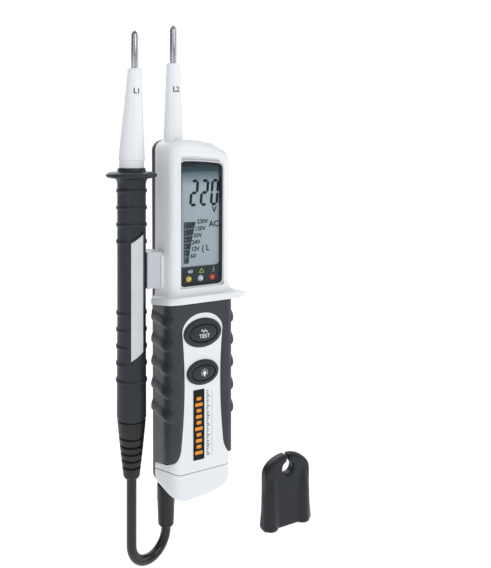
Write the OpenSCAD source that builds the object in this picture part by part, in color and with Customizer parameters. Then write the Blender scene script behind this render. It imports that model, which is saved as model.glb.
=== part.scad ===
// Two-pole digital voltage tester with a docked second handle, a joining lead and a tip guard.
// Millimetres. +Z runs along the probes towards their tips, the display faces -Y, +X is to its right.
// The origin is on the fixed probe's axis, where its pin leaves the sleeve.

/* [Probes] */
// Distance between the two docked pins, as on a wall socket
pin_pitch = 19; // [18.5:0.5:19.5]
// Radius of a bare pin
pin_r = 1.5; // [1.4:0.05:1.6]
// Bare length of a pin
pin_bare = 17.5; // [15:0.5:19]

/* [Case] */
// Width of the case at the display
case_w = 30.5; // [30.5:0.1:31]
// Length of the case from its crown to its foot
case_len = 159.7; // [159.7:0.1:162]
// Thickness of the shell walls
wall = 2; // [1.9:0.05:2.1]
// How far the rubber grip stands proud of the shell
grip_t = 1.4; // [1.3:0.1:1.5]

/* [Display] */
// Width of the window
window_w = 21.8; // [21:0.2:22]
// Height of the window
window_h = 55.5; // [54:0.5:56]

/* [Second handle] */
// Radius of the handle's grip
handle_r = 6.35; // [6:0.05:6.5]
// Radius of its finger flange
flange_r = 11.35; // [10:0.05:11.4]
// Radius of the lead
lead_r = 2.2; // [2:0.05:2.3]

/* [Tip guard] */
// Width of the guard
guard_w = 29; // [28:0.5:31]
// Height of the guard
guard_h = 35; // [33:0.5:37]

/* [Hidden] */
$fn = 48;

gap = 0.1;
cut = 1;
case_x = 8.9;
case_left = case_x - case_w / 2;
case_right = case_x + case_w / 2;
crown_x = case_x - 7;
crown_z = -34.3;
crown_fall = 0.013;
foot_z = crown_z - case_len;
foot_narrow = 0.6;
foot_r = 3.5;
case_front = -12;
pad_front = -13.2;
split_y = 5.8;
case_back = 11.1;
seam_z = -181.1;
seam_drop = 5.2;
flange_top = -100.5;
flange_bottom = -105.9;
flange_front = -16.2;
flange_tilt = -11.3;
grip_bottom = -183.2;
grip_front_foot = -177.4;
grip_half = case_w / 2 + grip_t;
grip_rib_z = -115;
grip_rib_pitch = 10.25;
grip_rib_h = 0.9;
panel_x = case_x - 0.8;
panel_arch = [11.3, 7.9];
panel_arch_z = -119.2;
panel_waist = 10;
panel_waist_z = -142;
panel_flare_z = -168;
panel_foot = -177;
window_x = case_x - 0.4;
window_top = -44;
window_bottom = window_top - window_h;
lens_y = case_front + 0.25;
lens_t = 1.1;
mask_y = case_front + wall + 0.05;
lcd_top = window_top - 4.8;
lcd_foot = -91.2;
led_z = -96.7;
led_xs = [3.1, 9.1, 15.1];
led_r = 1.5;
board_front = -4;
board_back = -2.4;
board_top = -43;
board_foot = -141.2;
test_z = -120;
light_z = -137.5;
test_size = [14, 8];
light_size = [11.8, 7];
test_ring_w = 2.5;
light_ring_w = 2.1;
button_front = -15.1;
button_back = -9.6;
plunger_r = 1.7;
screw_spots = [[8.9, -39.6], [-1.3, -104], [19.1, -104], [-1.3, -141], [19.1, -141]];
boss_r = 2.3;
screw_r = 1.1;
screw_hole_r = 1.15;
screw_clear_r = 1.35;
screw_head_hole_r = 2.15;
screw_head_depth = 2.4;
sound_hole_r = 0.55;
sound_hole_pitch = 2.6;
sound_hole_z = -60;
torch_spot = [16.2, -2];
torch_bore_r = 2.6;
label_recess = 0.25;
sleeve_top_r = 3.05;
sleeve_base_r = 4.3;
shank_r = pin_r - 0.2;
shank_bore_r = shank_r + 0.05;
l1_x = -pin_pitch;
l1_drop = 3.1;
handle_x = -20.4;
handle_top = -47;
handle_bottom = -157.7;
relief_bottom = -183.8;
boot = [-0.9, 5.6];
boot_top_r = 4.1;
boot_tip_r = 3.6;
boot_neck_r = 3.2;
boot_bottom = -213;
bend_z = -214;
cell_r = 5.1;
cell_len = 44;
cell_top = -144;
front_cell = [11.27, -4.95];
cell_spots = [[6.15, 3.95], [16.4, 3.95], front_cell];
dock_top = -85;
dock_bottom = -101.4;
cap_screw_spot = [19.9, -7.9];
boot_notch_r = 4.3;
jacket_end = cell_top - cell_len - 0.3;
wire_end = -146;
wire_core_r = 0.8;
bend_dx = handle_x - boot[0];
bend_dy = -boot[1];
bend_r = norm([bend_dx, bend_dy]) / 2;
base_z = bend_z - bend_r - lead_r;
guard_x = 62.5;

// ---- Outline helpers ----

function unit(v) = v / norm(v);

// Points of the arc of radius r that rounds corner b between its neighbours a and c
function corner_arc(a, b, c, r, steps) =
    let (
        u = unit(a - b),
        v = unit(c - b),
        half = acos(u * v) / 2,
        reach = r / tan(half),
        centre = b + unit(u + v) * r / sin(half),
        from = b + u * reach - centre,
        to = b + v * reach - centre,
        start = atan2(from[1], from[0]),
        raw = atan2(to[1], to[0]) - start,
        turn = raw > 180 ? raw - 360 : raw < -180 ? raw + 360 : raw
    )
    [for (i = [0 : steps]) centre + r * [cos(start + turn * i / steps), sin(start + turn * i / steps)]];

// A closed outline from [x, y, corner radius] rows
function rounded(rows, steps = 5) =
    let (n = len(rows), at = function(i) [rows[i % n][0], rows[i % n][1]])
    [for (i = [0 : n - 1])
        each rows[i][2] > 0 ? corner_arc(at(i + n - 1), at(i), at(i + 1), rows[i][2], steps) : [at(i)]];

function box_rows(x0, x1, y0, y1, r) = [[x0, y0, r], [x1, y0, r], [x1, y1, r], [x0, y1, r]];

// Extrudes an outline drawn in X and Z between two depths
module through_y(y0, y1) {
    translate([0, y1, 0])
        rotate([90, 0, 0])
            linear_extrude(y1 - y0)
                children();
}

// Extrudes an outline drawn in Y and Z between two widths
module through_x(x0, x1) {
    translate([x0, 0, 0])
        rotate([90, 0, 90])
            linear_extrude(x1 - x0)
                children();
}

module block(x0, x1, y0, y1, z0, z1) {
    translate([x0, y0, z0])
        cube([x1 - x0, y1 - y0, z1 - z0]);
}

// Round rod along Z
module rod(x, y, z0, z1, r0, r1) {
    translate([x, y, z0])
        cylinder(h = z1 - z0, r1 = r0, r2 = r1);
}

// Round rod along Y
module rod_y(x, z, y0, y1, r) {
    translate([x, y1, z])
        rotate([90, 0, 0])
            cylinder(h = y1 - y0, r = r);
}

// Ellipse of full width size[0] and height size[1], grown all round
module oval(size, grow = 0) {
    a = size[0] / 2 + grow;
    b = size[1] / 2 + grow;
    polygon([for (angle = [0 : 10 : 350]) [a * cos(angle), b * sin(angle)]]);
}

// ---- Case ----

function crown(x) = crown_z - crown_fall * pow(x - crown_x, 2);

function case_rows(inset) = [
    [case_left + foot_narrow + inset, foot_z + inset, foot_r - inset],
    [case_right - foot_narrow - inset, foot_z + inset, foot_r - inset],
    [case_right - inset, crown(case_right) - inset, 3.2 - inset],
    [case_x + 8, crown(case_x + 8) - inset, 0],
    [case_x + 2, crown(case_x + 2) - inset, 0],
    [case_x - 4, crown(case_x - 4) - inset, 0],
    [case_x - 10, crown(case_x - 10) - inset, 0],
    [case_left + inset, crown(case_left) - inset, 3.2 - inset]];

// The whole case as one solid, shrunk by an inset, with its front at a given depth
module case_body(inset, front) {
    intersection() {
        through_y(front + inset, case_back - inset)
            polygon(rounded(case_rows(inset)));
        translate([0, 0, foot_z - cut])
            linear_extrude(case_len + 2 * cut)
                polygon(rounded([
                    [case_left + inset, front + inset, 4.5 - inset],
                    [case_right - inset, front + inset, 4.5 - inset],
                    [case_right - inset, case_back - inset, 3 - inset],
                    [case_left + inset, case_back - inset, 3 - inset]]));
    }
}

// Side view of everything above the end cap's seam, which drops towards the back
module above_seam(lift = 0) {
    through_x(case_left - 5, case_right + 15)
        polygon([
            [-20, seam_z + lift],
            [-8, seam_z + lift],
            [split_y + 2, seam_z - seam_drop + lift],
            [split_y + 2, cut],
            [-20, cut]]);
}

// Half width of the panel below its arch, narrowest at its waist
function panel_half(z) = panel_waist
    + (z > panel_waist_z ? 1.3 * pow((z - panel_waist_z) / 22.8, 2) : 1.6 * pow((z - panel_waist_z) / 26, 2));

// Right half of the panel's outline from the top of its arch down, as [distance from the middle, z]
function panel_side(inset) = [
    for (angle = [90 : -7.5 : 0])
        [(panel_arch[0] - inset) * cos(angle), panel_arch_z + (panel_arch[1] - inset) * sin(angle)],
    for (z = [panel_arch_z - 6 : -6 : panel_flare_z]) [panel_half(z) - inset, z],
    for (angle = [15 : 15 : 90])
        [panel_half(panel_flare_z) - inset + 5 * (1 - cos(angle)),
            panel_flare_z + (panel_foot - panel_flare_z) * sin(angle)],
    [case_w, panel_foot],
    [case_w, seam_z - 20]];

// The panel's outline; the shells' sides cut off its wide foot
module panel_outline(inset) {
    side = panel_side(inset);
    last = len(side) - 1;
    polygon([
        for (point = side) [panel_x + point[0], point[1]],
        for (i = [last : -1 : 1]) [panel_x - side[i][0], side[i][1]]]);
}

// Turns its children about the flange's front lower edge, so that they drop towards the back
module tilted_with_flange() {
    translate([0, flange_front, flange_bottom])
        rotate([flange_tilt, 0, 0])
            translate([0, -flange_front, -flange_bottom])
                children();
}

// Finger guard flange: one outline seen from above, thinned towards its right tip
module finger_flange() {
    left = case_left - 2;
    tip = case_right + 11.3;
    tilted_with_flange()
        intersection() {
            translate([0, 0, flange_bottom - 3])
                linear_extrude(12)
                    polygon(rounded([
                        [left, flange_front, 4],
                        [case_right + 3, flange_front, 5],
                        [tip, -7, 4],
                        [tip, 1, 4],
                        [case_right + 3, split_y + 2, 3],
                        [left, split_y + 2, 2]], 6));
            through_y(-20, split_y + 3)
                polygon(rounded([
                    [left, flange_top - 3, 1.2],
                    [case_left + 0.5, flange_top, 2],
                    [case_right + 1, flange_top, 2],
                    [tip, flange_top - 3.4, 0.5],
                    [tip, flange_bottom, 0.5],
                    [left + 1.5, flange_bottom, 1]], 4));
        }
}

function window_rows(inset) = [
    [window_x - window_w / 2 + 0.6 + inset, window_bottom + inset, 2.6],
    [window_x + window_w / 2 - 0.6 - inset, window_bottom + inset, 2.6],
    [window_x + window_w / 2 - inset, window_top - 1.6 - inset, 3.4],
    [window_x, window_top - inset, 0],
    [window_x - window_w / 2 + inset, window_top - 0.6 - inset, 3.4]];

module front_screw_bosses() {
    for (spot = screw_spots)
        rod_y(spot[0], spot[1], case_front + 0.5, split_y, boss_r);
}

module button_holes() {
    translate([0, 0, test_z])
        through_y(-20, 0)
            translate([panel_x, 0])
                oval(test_size, gap);
    translate([0, 0, light_z])
        through_y(-20, 0)
            translate([panel_x, 0])
                oval(light_size, gap);
}

module front_shell() {
    color([0.87, 0.88, 0.89])
    difference() {
        union() {
            difference() {
                union() {
                    intersection() {
                        case_body(0, case_front);
                        above_seam();
                    }
                    intersection() {
                        case_body(0, pad_front);
                        through_y(pad_front - cut, case_front + 0.5)
                            panel_outline(gap / 2);
                        above_seam();
                    }
                    finger_flange();
                }
                case_body(wall, case_front);
            }
            intersection() {
                front_screw_bosses();
                case_body(0, case_front);
            }
            rod(cap_screw_spot[0], cap_screw_spot[1], seam_z, -170, 2.5, 2.5);
        }
        block(case_left - 6, case_right + 20, split_y, 20, foot_z - cut, cut);
        through_y(-20, lens_y + lens_t)
            polygon(rounded(window_rows(0)));
        through_y(-20, 0)
            polygon(rounded(window_rows(1)));
        button_holes();
        rod(0, 0, -38, cut, sleeve_base_r + gap, sleeve_base_r + gap);
        rod(torch_spot[0], torch_spot[1], -44, cut, torch_bore_r, torch_bore_r);
        for (spot = screw_spots)
            rod_y(spot[0], spot[1], case_front + wall, split_y + cut, screw_hole_r);
        rod(cap_screw_spot[0], cap_screw_spot[1], seam_z - cut, -172, 1.3, 1.3);
        block(front_cell[0] - cell_r - gap, front_cell[0] + cell_r + gap, -11.4, -8, -190, cell_top + 0.4);
    }
}

function rear_label_rows(grow) = box_rows(case_x - 10 - grow, case_x + 10 + grow, -100 - grow, -68 + grow, 1.5);

module rear_shell() {
    color([0.17, 0.18, 0.2])
    difference() {
        union() {
            difference() {
                intersection() {
                    case_body(0, case_front);
                    block(case_left - 1, case_right + 1, split_y + gap, case_back + 1, foot_z - cut, cut);
                }
                case_body(wall, case_front);
            }
            for (spot = screw_spots)
                rod_y(spot[0], spot[1], split_y + gap, case_back - 0.5, boss_r);
        }
        for (spot = screw_spots) {
            rod_y(spot[0], spot[1], 0, case_back + cut, screw_clear_r);
            rod_y(spot[0], spot[1], case_back - screw_head_depth, case_back + cut, screw_head_hole_r);
        }
        rod(boot[0], boot[1], foot_z - cut, foot_z + wall + 1, boot_neck_r + gap, boot_neck_r + gap);
        for (i = [-2 : 2])
            rod_y(case_x + i * sound_hole_pitch, sound_hole_z, 0, case_back + cut, sound_hole_r);
        through_y(case_back - label_recess, case_back + cut)
            polygon(rounded(rear_label_rows(0.1)));
    }
}

// How far a finger rib stands out at a height: half-round ribs, five of them
function rib_swell(z) =
    let (nearest = grip_rib_z - grip_rib_pitch * max(0, min(4, round((grip_rib_z - z) / grip_rib_pitch))))
    grip_rib_h * max(0, cos(90 * min(1, abs(z - nearest) / 2.4)));

function grip_edge(side, z) = case_x + side * (grip_half + rib_swell(z));

// Outline of the grip with a row of finger ribs down each side
function grip_rows(steps = 90) =
    let (top = flange_bottom - gap)
    [for (i = [0 : steps]) let (z = grip_bottom + (top - grip_bottom) * i / steps)
        [grip_edge(1, z), z],
    for (i = [steps : -1 : 0]) let (z = grip_bottom + (top - grip_bottom) * i / steps)
        [grip_edge(-1, z), z]];

module grip_overmould() {
    color([0.19, 0.2, 0.22])
    difference() {
        intersection() {
            through_y(pad_front, split_y)
                polygon(grip_rows());
            translate([0, 0, grip_bottom])
                linear_extrude(flange_bottom - grip_bottom)
                    polygon(rounded([
                        [case_x - grip_half - 2, pad_front, 7.5],
                        [case_x + grip_half + 2, pad_front, 7.5],
                        [case_x + grip_half + 2, split_y, 0],
                        [case_x - grip_half - 2, split_y, 0]]));
            through_x(case_left - 5, case_right + 5)
                polygon([[-20, grip_front_foot], [-8, grip_front_foot], [split_y, grip_bottom], [split_y, cut],
                    [-20, cut]]);
        }
        case_body(-gap / 2, case_front);
        through_y(pad_front - cut, case_front + 4)
            panel_outline(0);
        tilted_with_flange()
            block(case_left - 8, case_right + 8, -30, 20, flange_bottom - gap, flange_bottom + 20);
    }
}

// Cord seal in the joint between the two shells
module case_seal() {
    color([0.1, 0.1, 0.1])
    difference() {
        intersection() {
            case_body(wall + gap, case_front);
            block(case_left, case_right, split_y - 0.5, split_y + 0.7, -139, -50);
        }
        case_body(wall + 1, case_front);
        for (spot = screw_spots)
            rod_y(spot[0], spot[1], 0, 10, boss_r + gap);
    }
}

module case_screws() {
    color([0.7, 0.71, 0.73])
    for (spot = screw_spots)
        difference() {
            union() {
                rod_y(spot[0], spot[1], -3, case_back - 1.2, screw_r);
                rod_y(spot[0], spot[1], case_back - 2.3, case_back - 0.6, 2.05);
            }
            block(spot[0] - 1.3, spot[0] + 1.3, case_back - 1.3, case_back, spot[1] - 0.25, spot[1] + 0.25);
            block(spot[0] - 0.25, spot[0] + 0.25, case_back - 1.3, case_back, spot[1] - 1.3, spot[1] + 1.3);
        }
}

// ---- Display ----

module window_lens() {
    color([0.8, 0.88, 0.9, 0.4])
    through_y(lens_y, lens_y + lens_t - gap)
        polygon(rounded(window_rows(gap)));
}

module display_mask() {
    color([0.09, 0.14, 0.16])
    difference() {
        through_y(mask_y, mask_y + 0.3)
            polygon(rounded(box_rows(window_x - 10.4, window_x + 10.7, window_bottom - 0.7, -43, 1)));
        through_y(-12, 0)
            polygon(rounded(box_rows(window_x - 9.8, window_x + 10, lcd_foot, lcd_top, 1.6)));
        for (x = led_xs)
            rod_y(x, led_z, -12, 0, led_r + gap);
    }
}

module lcd_panel() {
    color([0.6, 0.67, 0.7])
    union() {
        block(window_x - 11, window_x + 11, mask_y + 0.35, mask_y + 1.3, lcd_foot - 2, lcd_top + 2);
        block(window_x - 11, window_x + 11, mask_y + 1.3, mask_y + 2.2, lcd_foot - 0.5, lcd_top + 0.5);
    }
}

module lcd_backlight() {
    color([0.92, 0.93, 0.9])
    block(window_x - 10.5, window_x + 10.5, mask_y + 2.25, mask_y + 4.2, lcd_foot + 2.2, lcd_top - 2.2);
}

module lcd_connectors() {
    color([0.85, 0.6, 0.65])
    for (z = [lcd_foot, lcd_top - 1.8])
        block(window_x - 9.5, window_x + 9.5, mask_y + 2.25, board_front - 0.02, z, z + 1.8);
}

module led(x) {
    rod_y(x, led_z, board_front - 5.2, board_front - 0.05, led_r);
    rod_y(x, led_z, board_front - 1, board_front - 0.05, led_r + 0.4);
    translate([x, board_front - 5.2, led_z])
        sphere(r = led_r);
}

module led_yellow() {
    color([0.8, 0.72, 0.2])
    union() led(led_xs[0]);
}

module led_white() {
    color([0.75, 0.82, 0.92])
    union() led(led_xs[1]);
}

module led_red() {
    color([0.75, 0.22, 0.18])
    union() led(led_xs[2]);
}

// ---- Electronics ----

module main_board() {
    color([0.12, 0.36, 0.2])
    difference() {
        block(case_left + wall + 0.8, case_right - wall - 0.8, board_front, board_back, board_foot, board_top);
        for (spot = screw_spots)
            rod_y(spot[0], spot[1], -10, 0, boss_r + 0.3);
        block(-6, 5.8, -10, 0, -55, cut);
        block(12.8, 19.6, -10, 0, -48, cut);
    }
}

module board_chips() {
    color([0.08, 0.08, 0.09])
    union() {
        block(4, 14, board_back + 0.05, board_back + 1.6, -74, -64);
        block(2, 8, board_back + 0.05, board_back + 1.5, -92, -88);
        block(12, 16, board_back + 0.05, board_back + 1.5, -93, -88);
        block(5, 12, board_back + 0.05, board_back + 1.8, -131, -126);
    }
}

// Chain of high-voltage input resistors behind the fixed probe
module input_resistors() {
    color([0.55, 0.65, 0.75])
    for (z = [-82, -73, -64])
        rod(-1.6, board_back + 1.5, z, z + 6.5, 1.2, 1.2);
}

module tact_switch(z) {
    difference() {
        block(panel_x - 3, panel_x + 3, board_front - 3.4, board_front - 0.05, z - 3, z + 3);
        rod_y(panel_x, z, board_front - 4, board_front - 1, plunger_r + gap);
    }
}

module test_switch() {
    color([0.2, 0.2, 0.22])
    tact_switch(test_z);
}

module light_switch() {
    color([0.2, 0.2, 0.22])
    tact_switch(light_z);
}

module buzzer() {
    color([0.1, 0.1, 0.1])
    difference() {
        rod_y(case_x + 3, -106, board_back + 0.05, 8.9, 5);
        rod_y(case_x + 3, -106, 7.4, 10, 1);
    }
}

module torch_led() {
    color([0.95, 0.93, 0.8])
    union() {
        rod(torch_spot[0], torch_spot[1], -47.5, -42.5, 1.5, 1.5);
        rod(torch_spot[0], torch_spot[1], -47.5, -46.6, 1.8, 1.8);
        translate([torch_spot[0], torch_spot[1], -42.5])
            sphere(r = 1.5);
    }
}

module torch_lens() {
    color([0.85, 0.9, 0.95, 0.5])
    rod(torch_spot[0], torch_spot[1], -40.6, -36.3, 2.5, 2.5);
}

// ---- Fixed probe ----

module probe_sleeve_l2() {
    color([0.86, 0.87, 0.88])
    difference() {
        union() {
            rod(0, 0, -36, 0, sleeve_base_r, sleeve_top_r);
            rod(0, 0, -48, -36, sleeve_base_r, sleeve_base_r);
            rod(0, 0, -41, -39, 5.3, 5.3);
        }
        rod(0, 0, -49, cut, shank_bore_r, shank_bore_r);
        block(-6, case_left + wall + gap, -6, 6, -49, -38);
    }
}

// Pin from its tip down to the crimped end of its thinner shank; its shoulder sits on the sleeve at 0
module pin(top, bottom) {
    rod(0, 0, bottom, 0, shank_r, shank_r);
    rod(0, 0, 0, top - 1.6, pin_r, pin_r);
    rod(0, 0, top - 1.6, top, pin_r, 0.4);
}

module probe_pin_l2() {
    color([0.75, 0.76, 0.78])
    union() pin(pin_bare, -51);
}

// Spring clip from the pin's end to the board
module pin_contact_l2() {
    color([0.8, 0.65, 0.3])
    union() {
        difference() {
            rod(0, 0, -51, -48.3, 2.3, 2.3);
            rod(0, 0, -52, -48, shank_bore_r, shank_bore_r);
        }
        block(-1.5, 1.5, -2.3, -1.8, -57, -48.3);
    }
}

// ---- Buttons ----

module button_ring(z, size, ring_w) {
    difference() {
        union() {
            translate([0, 0, z])
                through_y(pad_front - 0.9, pad_front - 0.02)
                    translate([panel_x, 0])
                        oval(size, ring_w);
            translate([0, 0, z])
                through_y(pad_front - 1.5, pad_front - 0.9)
                    translate([panel_x, 0])
                        oval(size, ring_w - 0.8);
        }
        translate([0, 0, z])
            through_y(-20, 0)
                translate([panel_x, 0])
                    oval(size, gap);
    }
}

module button_ring_test() {
    color([0.15, 0.16, 0.18])
    button_ring(test_z, test_size, test_ring_w);
}

module button_ring_light() {
    color([0.15, 0.16, 0.18])
    button_ring(light_z, light_size, light_ring_w);
}

module button_cap(z, size) {
    translate([0, 0, z])
        through_y(button_front, button_back)
            translate([panel_x, 0])
                oval(size);
    translate([0, 0, z])
        through_y(button_front - 0.5, button_front)
            translate([panel_x, 0])
                oval(size, -0.8);
    rod_y(panel_x, z, button_back, -8.4, 1.6);
}

module test_button() {
    color([0.17, 0.18, 0.2])
    button_cap(test_z, test_size);
}

module light_button() {
    color([0.17, 0.18, 0.2])
    button_cap(light_z, light_size);
}

module test_plunger() {
    color([0.85, 0.85, 0.8])
    rod_y(panel_x, test_z, -8.35, board_front - 1.9, plunger_r);
}

module light_plunger() {
    color([0.85, 0.85, 0.8])
    rod_y(panel_x, light_z, -8.35, board_front - 1.9, plunger_r);
}

// ---- Battery bay ----

module battery_tray() {
    color([0.13, 0.13, 0.14])
    difference() {
        union() {
            block(-3.6, 21.4, -8.7, 8.8, -143.5, -142.4);
            block(1.8, 3, -8.7, -5, -160, -143.4);
        }
        for (spot = screw_spots)
            rod_y(spot[0], spot[1], -12, 10, boss_r + gap);
    }
}

// Three small cylindrical cells, two at the back and one between them in front
module battery_cells() {
    color([0.75, 0.6, 0.25])
    for (spot = cell_spots)
        union() {
            rod(spot[0], spot[1], cell_top - cell_len, cell_top - 0.8, cell_r, cell_r);
            rod(spot[0], spot[1], cell_top - 0.8, cell_top, 1.9, 1.9);
        }
}

module battery_contacts() {
    color([0.8, 0.7, 0.4])
    for (spot = cell_spots)
        rod(spot[0], spot[1], cell_top + 0.05, cell_top + 0.45, 3, 3);
}

// Closed coil seen as a stack of rings along Z, from z0 upwards
module coil(coil_r, wire_r, turns) {
    rotate_extrude()
        for (i = [0 : turns - 1])
            translate([coil_r, wire_r + i * wire_r * 1.65])
                circle(r = wire_r, $fn = 16);
}

module battery_springs() {
    color([0.75, 0.75, 0.72])
    for (spot = cell_spots)
        translate([spot[0], spot[1], foot_z + wall + gap])
            coil(1.35, 0.45, 5);
}

// ---- End cap ----

module end_cap() {
    color([0.87, 0.88, 0.89])
    difference() {
        intersection() {
            case_body(0, pad_front);
            block(case_left - 1, case_right + 1, -20, split_y, foot_z - cut, -170);
        }
        above_seam(-0.2);
        intersection() {
            case_body(wall, pad_front);
            block(case_left, case_right, -20, split_y + 1, foot_z, -170);
        }
        rod(boot[0], boot[1], foot_z - cut, -170, boot_notch_r, boot_notch_r);
        block(boot[0] - boot_notch_r, boot[0] + boot_notch_r, boot[1], split_y + 1, foot_z - cut, -170);
        rod(cap_screw_spot[0], cap_screw_spot[1], foot_z - cut, -180, 1.3, 1.3);
        rod(cap_screw_spot[0], cap_screw_spot[1], foot_z - cut, foot_z + 1.1, 2.3, 2.3);
    }
}

// Soft strip under the end cap's rim
module cap_seal() {
    color([0.1, 0.1, 0.1])
    difference() {
        intersection() {
            case_body(wall + gap, pad_front);
            block(2.4, 16.4, -20, -8, seam_z - 1.6, seam_z - 0.3);
        }
        case_body(wall + 0.9, pad_front);
    }
}

module cap_screw() {
    color([0.7, 0.71, 0.73])
    difference() {
        union() {
            rod(cap_screw_spot[0], cap_screw_spot[1], foot_z + 0.3, foot_z + 1, 2.2, 2.2);
            rod(cap_screw_spot[0], cap_screw_spot[1], foot_z + 0.9, -174, 1.2, 1.2);
        }
        block(cap_screw_spot[0] - 1.5, cap_screw_spot[0] + 1.5, cap_screw_spot[1] - 0.25,
            cap_screw_spot[1] + 0.25, foot_z, foot_z + 0.7);
    }
}

// ---- Labels ----

module front_label() {
    color([0.08, 0.08, 0.08])
    through_y(pad_front - 0.15, pad_front - 0.02)
        polygon(rounded(box_rows(3.5, 9, -176, -145, 0.4)));
}

module rear_label() {
    color([0.8, 0.8, 0.8])
    through_y(case_back - 0.22, case_back - 0.07)
        polygon(rounded(rear_label_rows(0)));
}

// ---- Dock ----

module dock_rail() {
    color([0.87, 0.88, 0.89])
    union() {
        through_x(case_left - 1.7, case_left - 0.02)
            polygon([[-4.6, dock_bottom + 1], [4.6, dock_bottom + 1], [4.6, dock_top - 1.5], [3, dock_top],
                [-3, dock_top], [-4.6, dock_top - 1.5]]);
        block(case_left - 3.2, case_left - 1.6, -1.5, 1.5, dock_bottom + 1, dock_top - 1);
        block(case_left - 4.5, case_left - 3.1, -2.8, 2.8, dock_bottom + 1, dock_top - 1);
    }
}

// C-shaped runner on the second handle; its slot is open at the bottom only
module dock_clip() {
    color([0.72, 0.73, 0.74])
    difference() {
        block(handle_x + handle_r - 0.6, case_left - 1.9, -4.4, 4.4, dock_bottom + 1, dock_top + 0.6);
        block(case_left - 4.7, case_left - 2.9, -3, 3, dock_bottom - cut, dock_top - 0.8);
        block(case_left - 3.5, case_left, -1.7, 1.7, dock_bottom - cut, dock_top - 0.8);
        rod(handle_x, 0, dock_bottom - cut, dock_top + 2, handle_r + 0.02, handle_r + 0.02);
    }
}

// ---- Lead ----

// The boot that leaves the case foot, with a neck in the rear shell and a collar inside
module lead_boot_l2() {
    color([0.12, 0.12, 0.13])
    difference() {
        union() {
            rod(boot[0], boot[1], boot_bottom, foot_z - 8, boot_tip_r, boot_top_r - 0.2);
            rod(boot[0], boot[1], foot_z - 8, foot_z - 0.3, boot_top_r, boot_top_r);
            rod(boot[0], boot[1], foot_z - 0.4, foot_z + wall + gap, boot_neck_r, boot_neck_r);
            intersection() {
                rod(boot[0], boot[1], foot_z + wall + gap, foot_z + wall + 2, boot_top_r, boot_top_r);
                case_body(wall + gap, case_front);
            }
        }
        rod(boot[0], boot[1], boot_bottom - cut, -180, lead_r + 0.02, lead_r + 0.02);
        for (z = [-199.5, -203, -206.5, -210])
            difference() {
                rod(boot[0], boot[1], z, z + 0.9, 6, 6);
                rod(boot[0], boot[1], z, z + 0.9, boot_tip_r - 0.35, boot_tip_r - 0.35);
            }
    }
}

// Part of the bend below the tester: from angle 180 at the boot's leg to 360 at the handle's.
// It is a hair thinner than the legs and starts just inside them.
module lead_bend(from, sweep) {
    translate([(handle_x + boot[0]) / 2, boot[1] / 2, bend_z])
        rotate([0, 0, atan2(bend_dy, bend_dx)])
            rotate([90, 0, 0])
                rotate([0, 0, from])
                    rotate_extrude(angle = sweep)
                        translate([bend_r, 0])
                            circle(r = lead_r - 0.03);
}

module lead_l2() {
    color([0.07, 0.07, 0.08])
    union() {
        rod(boot[0], boot[1], bend_z, jacket_end, lead_r, lead_r);
        rod(boot[0], boot[1], jacket_end - 0.1, wire_end, wire_core_r, wire_core_r);
        lead_bend(179.5, 90.2);
    }
}

module lead_l1() {
    color([0.07, 0.07, 0.08])
    union() {
        rod(handle_x, 0, bend_z, -150, lead_r, lead_r);
        lead_bend(270.3, 90.2);
    }
}

// ---- Second handle ----

module handle_l1() {
    rib_zs = [-57, -64.5, -72, -79.5, -110.7, -118.1, -125.5, -133, -140.4];
    color([0.17, 0.18, 0.2])
    difference() {
        translate([handle_x, 0, 0])
            union() {
                rotate_extrude()
                    polygon([
                        [0, handle_bottom],
                        [handle_r - 0.1, handle_bottom],
                        [handle_r + 0.15, handle_bottom + 1],
                        [handle_r, -100],
                        [handle_r, -55],
                        [handle_r + 0.8, -52.2],
                        [flange_r - 1, -51.7],
                        [flange_r, -51],
                        [flange_r, -49.6],
                        [flange_r - 1, -48.8],
                        [6.4, -48.4],
                        [6.2, handle_top],
                        [0, handle_top]]);
                for (z = rib_zs)
                    rotate_extrude()
                        translate([handle_r - 0.35, z])
                            circle(r = 0.85, $fn = 16);
                translate([-handle_x, 0, 0])
                    label_sector(handle_r - 0.5, handle_r + 0.6, 0.7);
            }
        rod(handle_x, 0, handle_bottom - cut, -50, 4.4, 4.4);
        rod(l1_x, 0, -51, handle_top + cut, 2, 2);
    }
}

module probe_sleeve_l1() {
    color([0.86, 0.87, 0.88])
    difference() {
        union() {
            hull() {
                rod(l1_x, 0, -l1_drop - 0.1, -l1_drop, sleeve_top_r, sleeve_top_r, $fn = 32);
                rod(handle_x, 0, -44, -43.9, 5.8, 5.8, $fn = 32);
            }
            rod(handle_x, 0, handle_top + 0.05, -43.95, 6, 6);
        }
        rod(l1_x, 0, handle_top - cut, cut, shank_bore_r, shank_bore_r);
    }
}

module probe_pin_l1() {
    color([0.75, 0.76, 0.78])
    translate([l1_x, 0, -l1_drop])
        pin(pin_bare - 0.5, -50);
}

// Compression spring between the pin's end and the resistor
module contact_spring_l1() {
    color([0.75, 0.75, 0.72])
    translate([handle_x, 0, -62])
        coil(2.4, 0.5, 9);
}

module resistor_l1() {
    color([0.55, 0.65, 0.75])
    union() {
        rod(handle_x, 0, -92, -66, 3.2, 3.2);
        rod(handle_x, 0, -149.9, -62.1, 0.5, 0.5);
    }
}

// Slanted strip down the handle's front, between two radii
module label_sector(r0, r1, grow) {
    intersection() {
        difference() {
            rod(handle_x, 0, -136, -70, r1, r1);
            rod(handle_x, 0, -137, -69, r0, r0);
        }
        through_y(-20, 0)
            polygon([
                [handle_x - 2.8 - grow, -130.4 - grow],
                [handle_x + 2.8 + grow, -126.9 - grow],
                [handle_x + 2.8 + grow, -75.9 + grow],
                [handle_x - 2.8 - grow, -79.4 + grow]]);
    }
}

module label_l1() {
    color([0.78, 0.79, 0.79])
    label_sector(handle_r + 0.62, handle_r + 0.77, 0);
}

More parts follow.
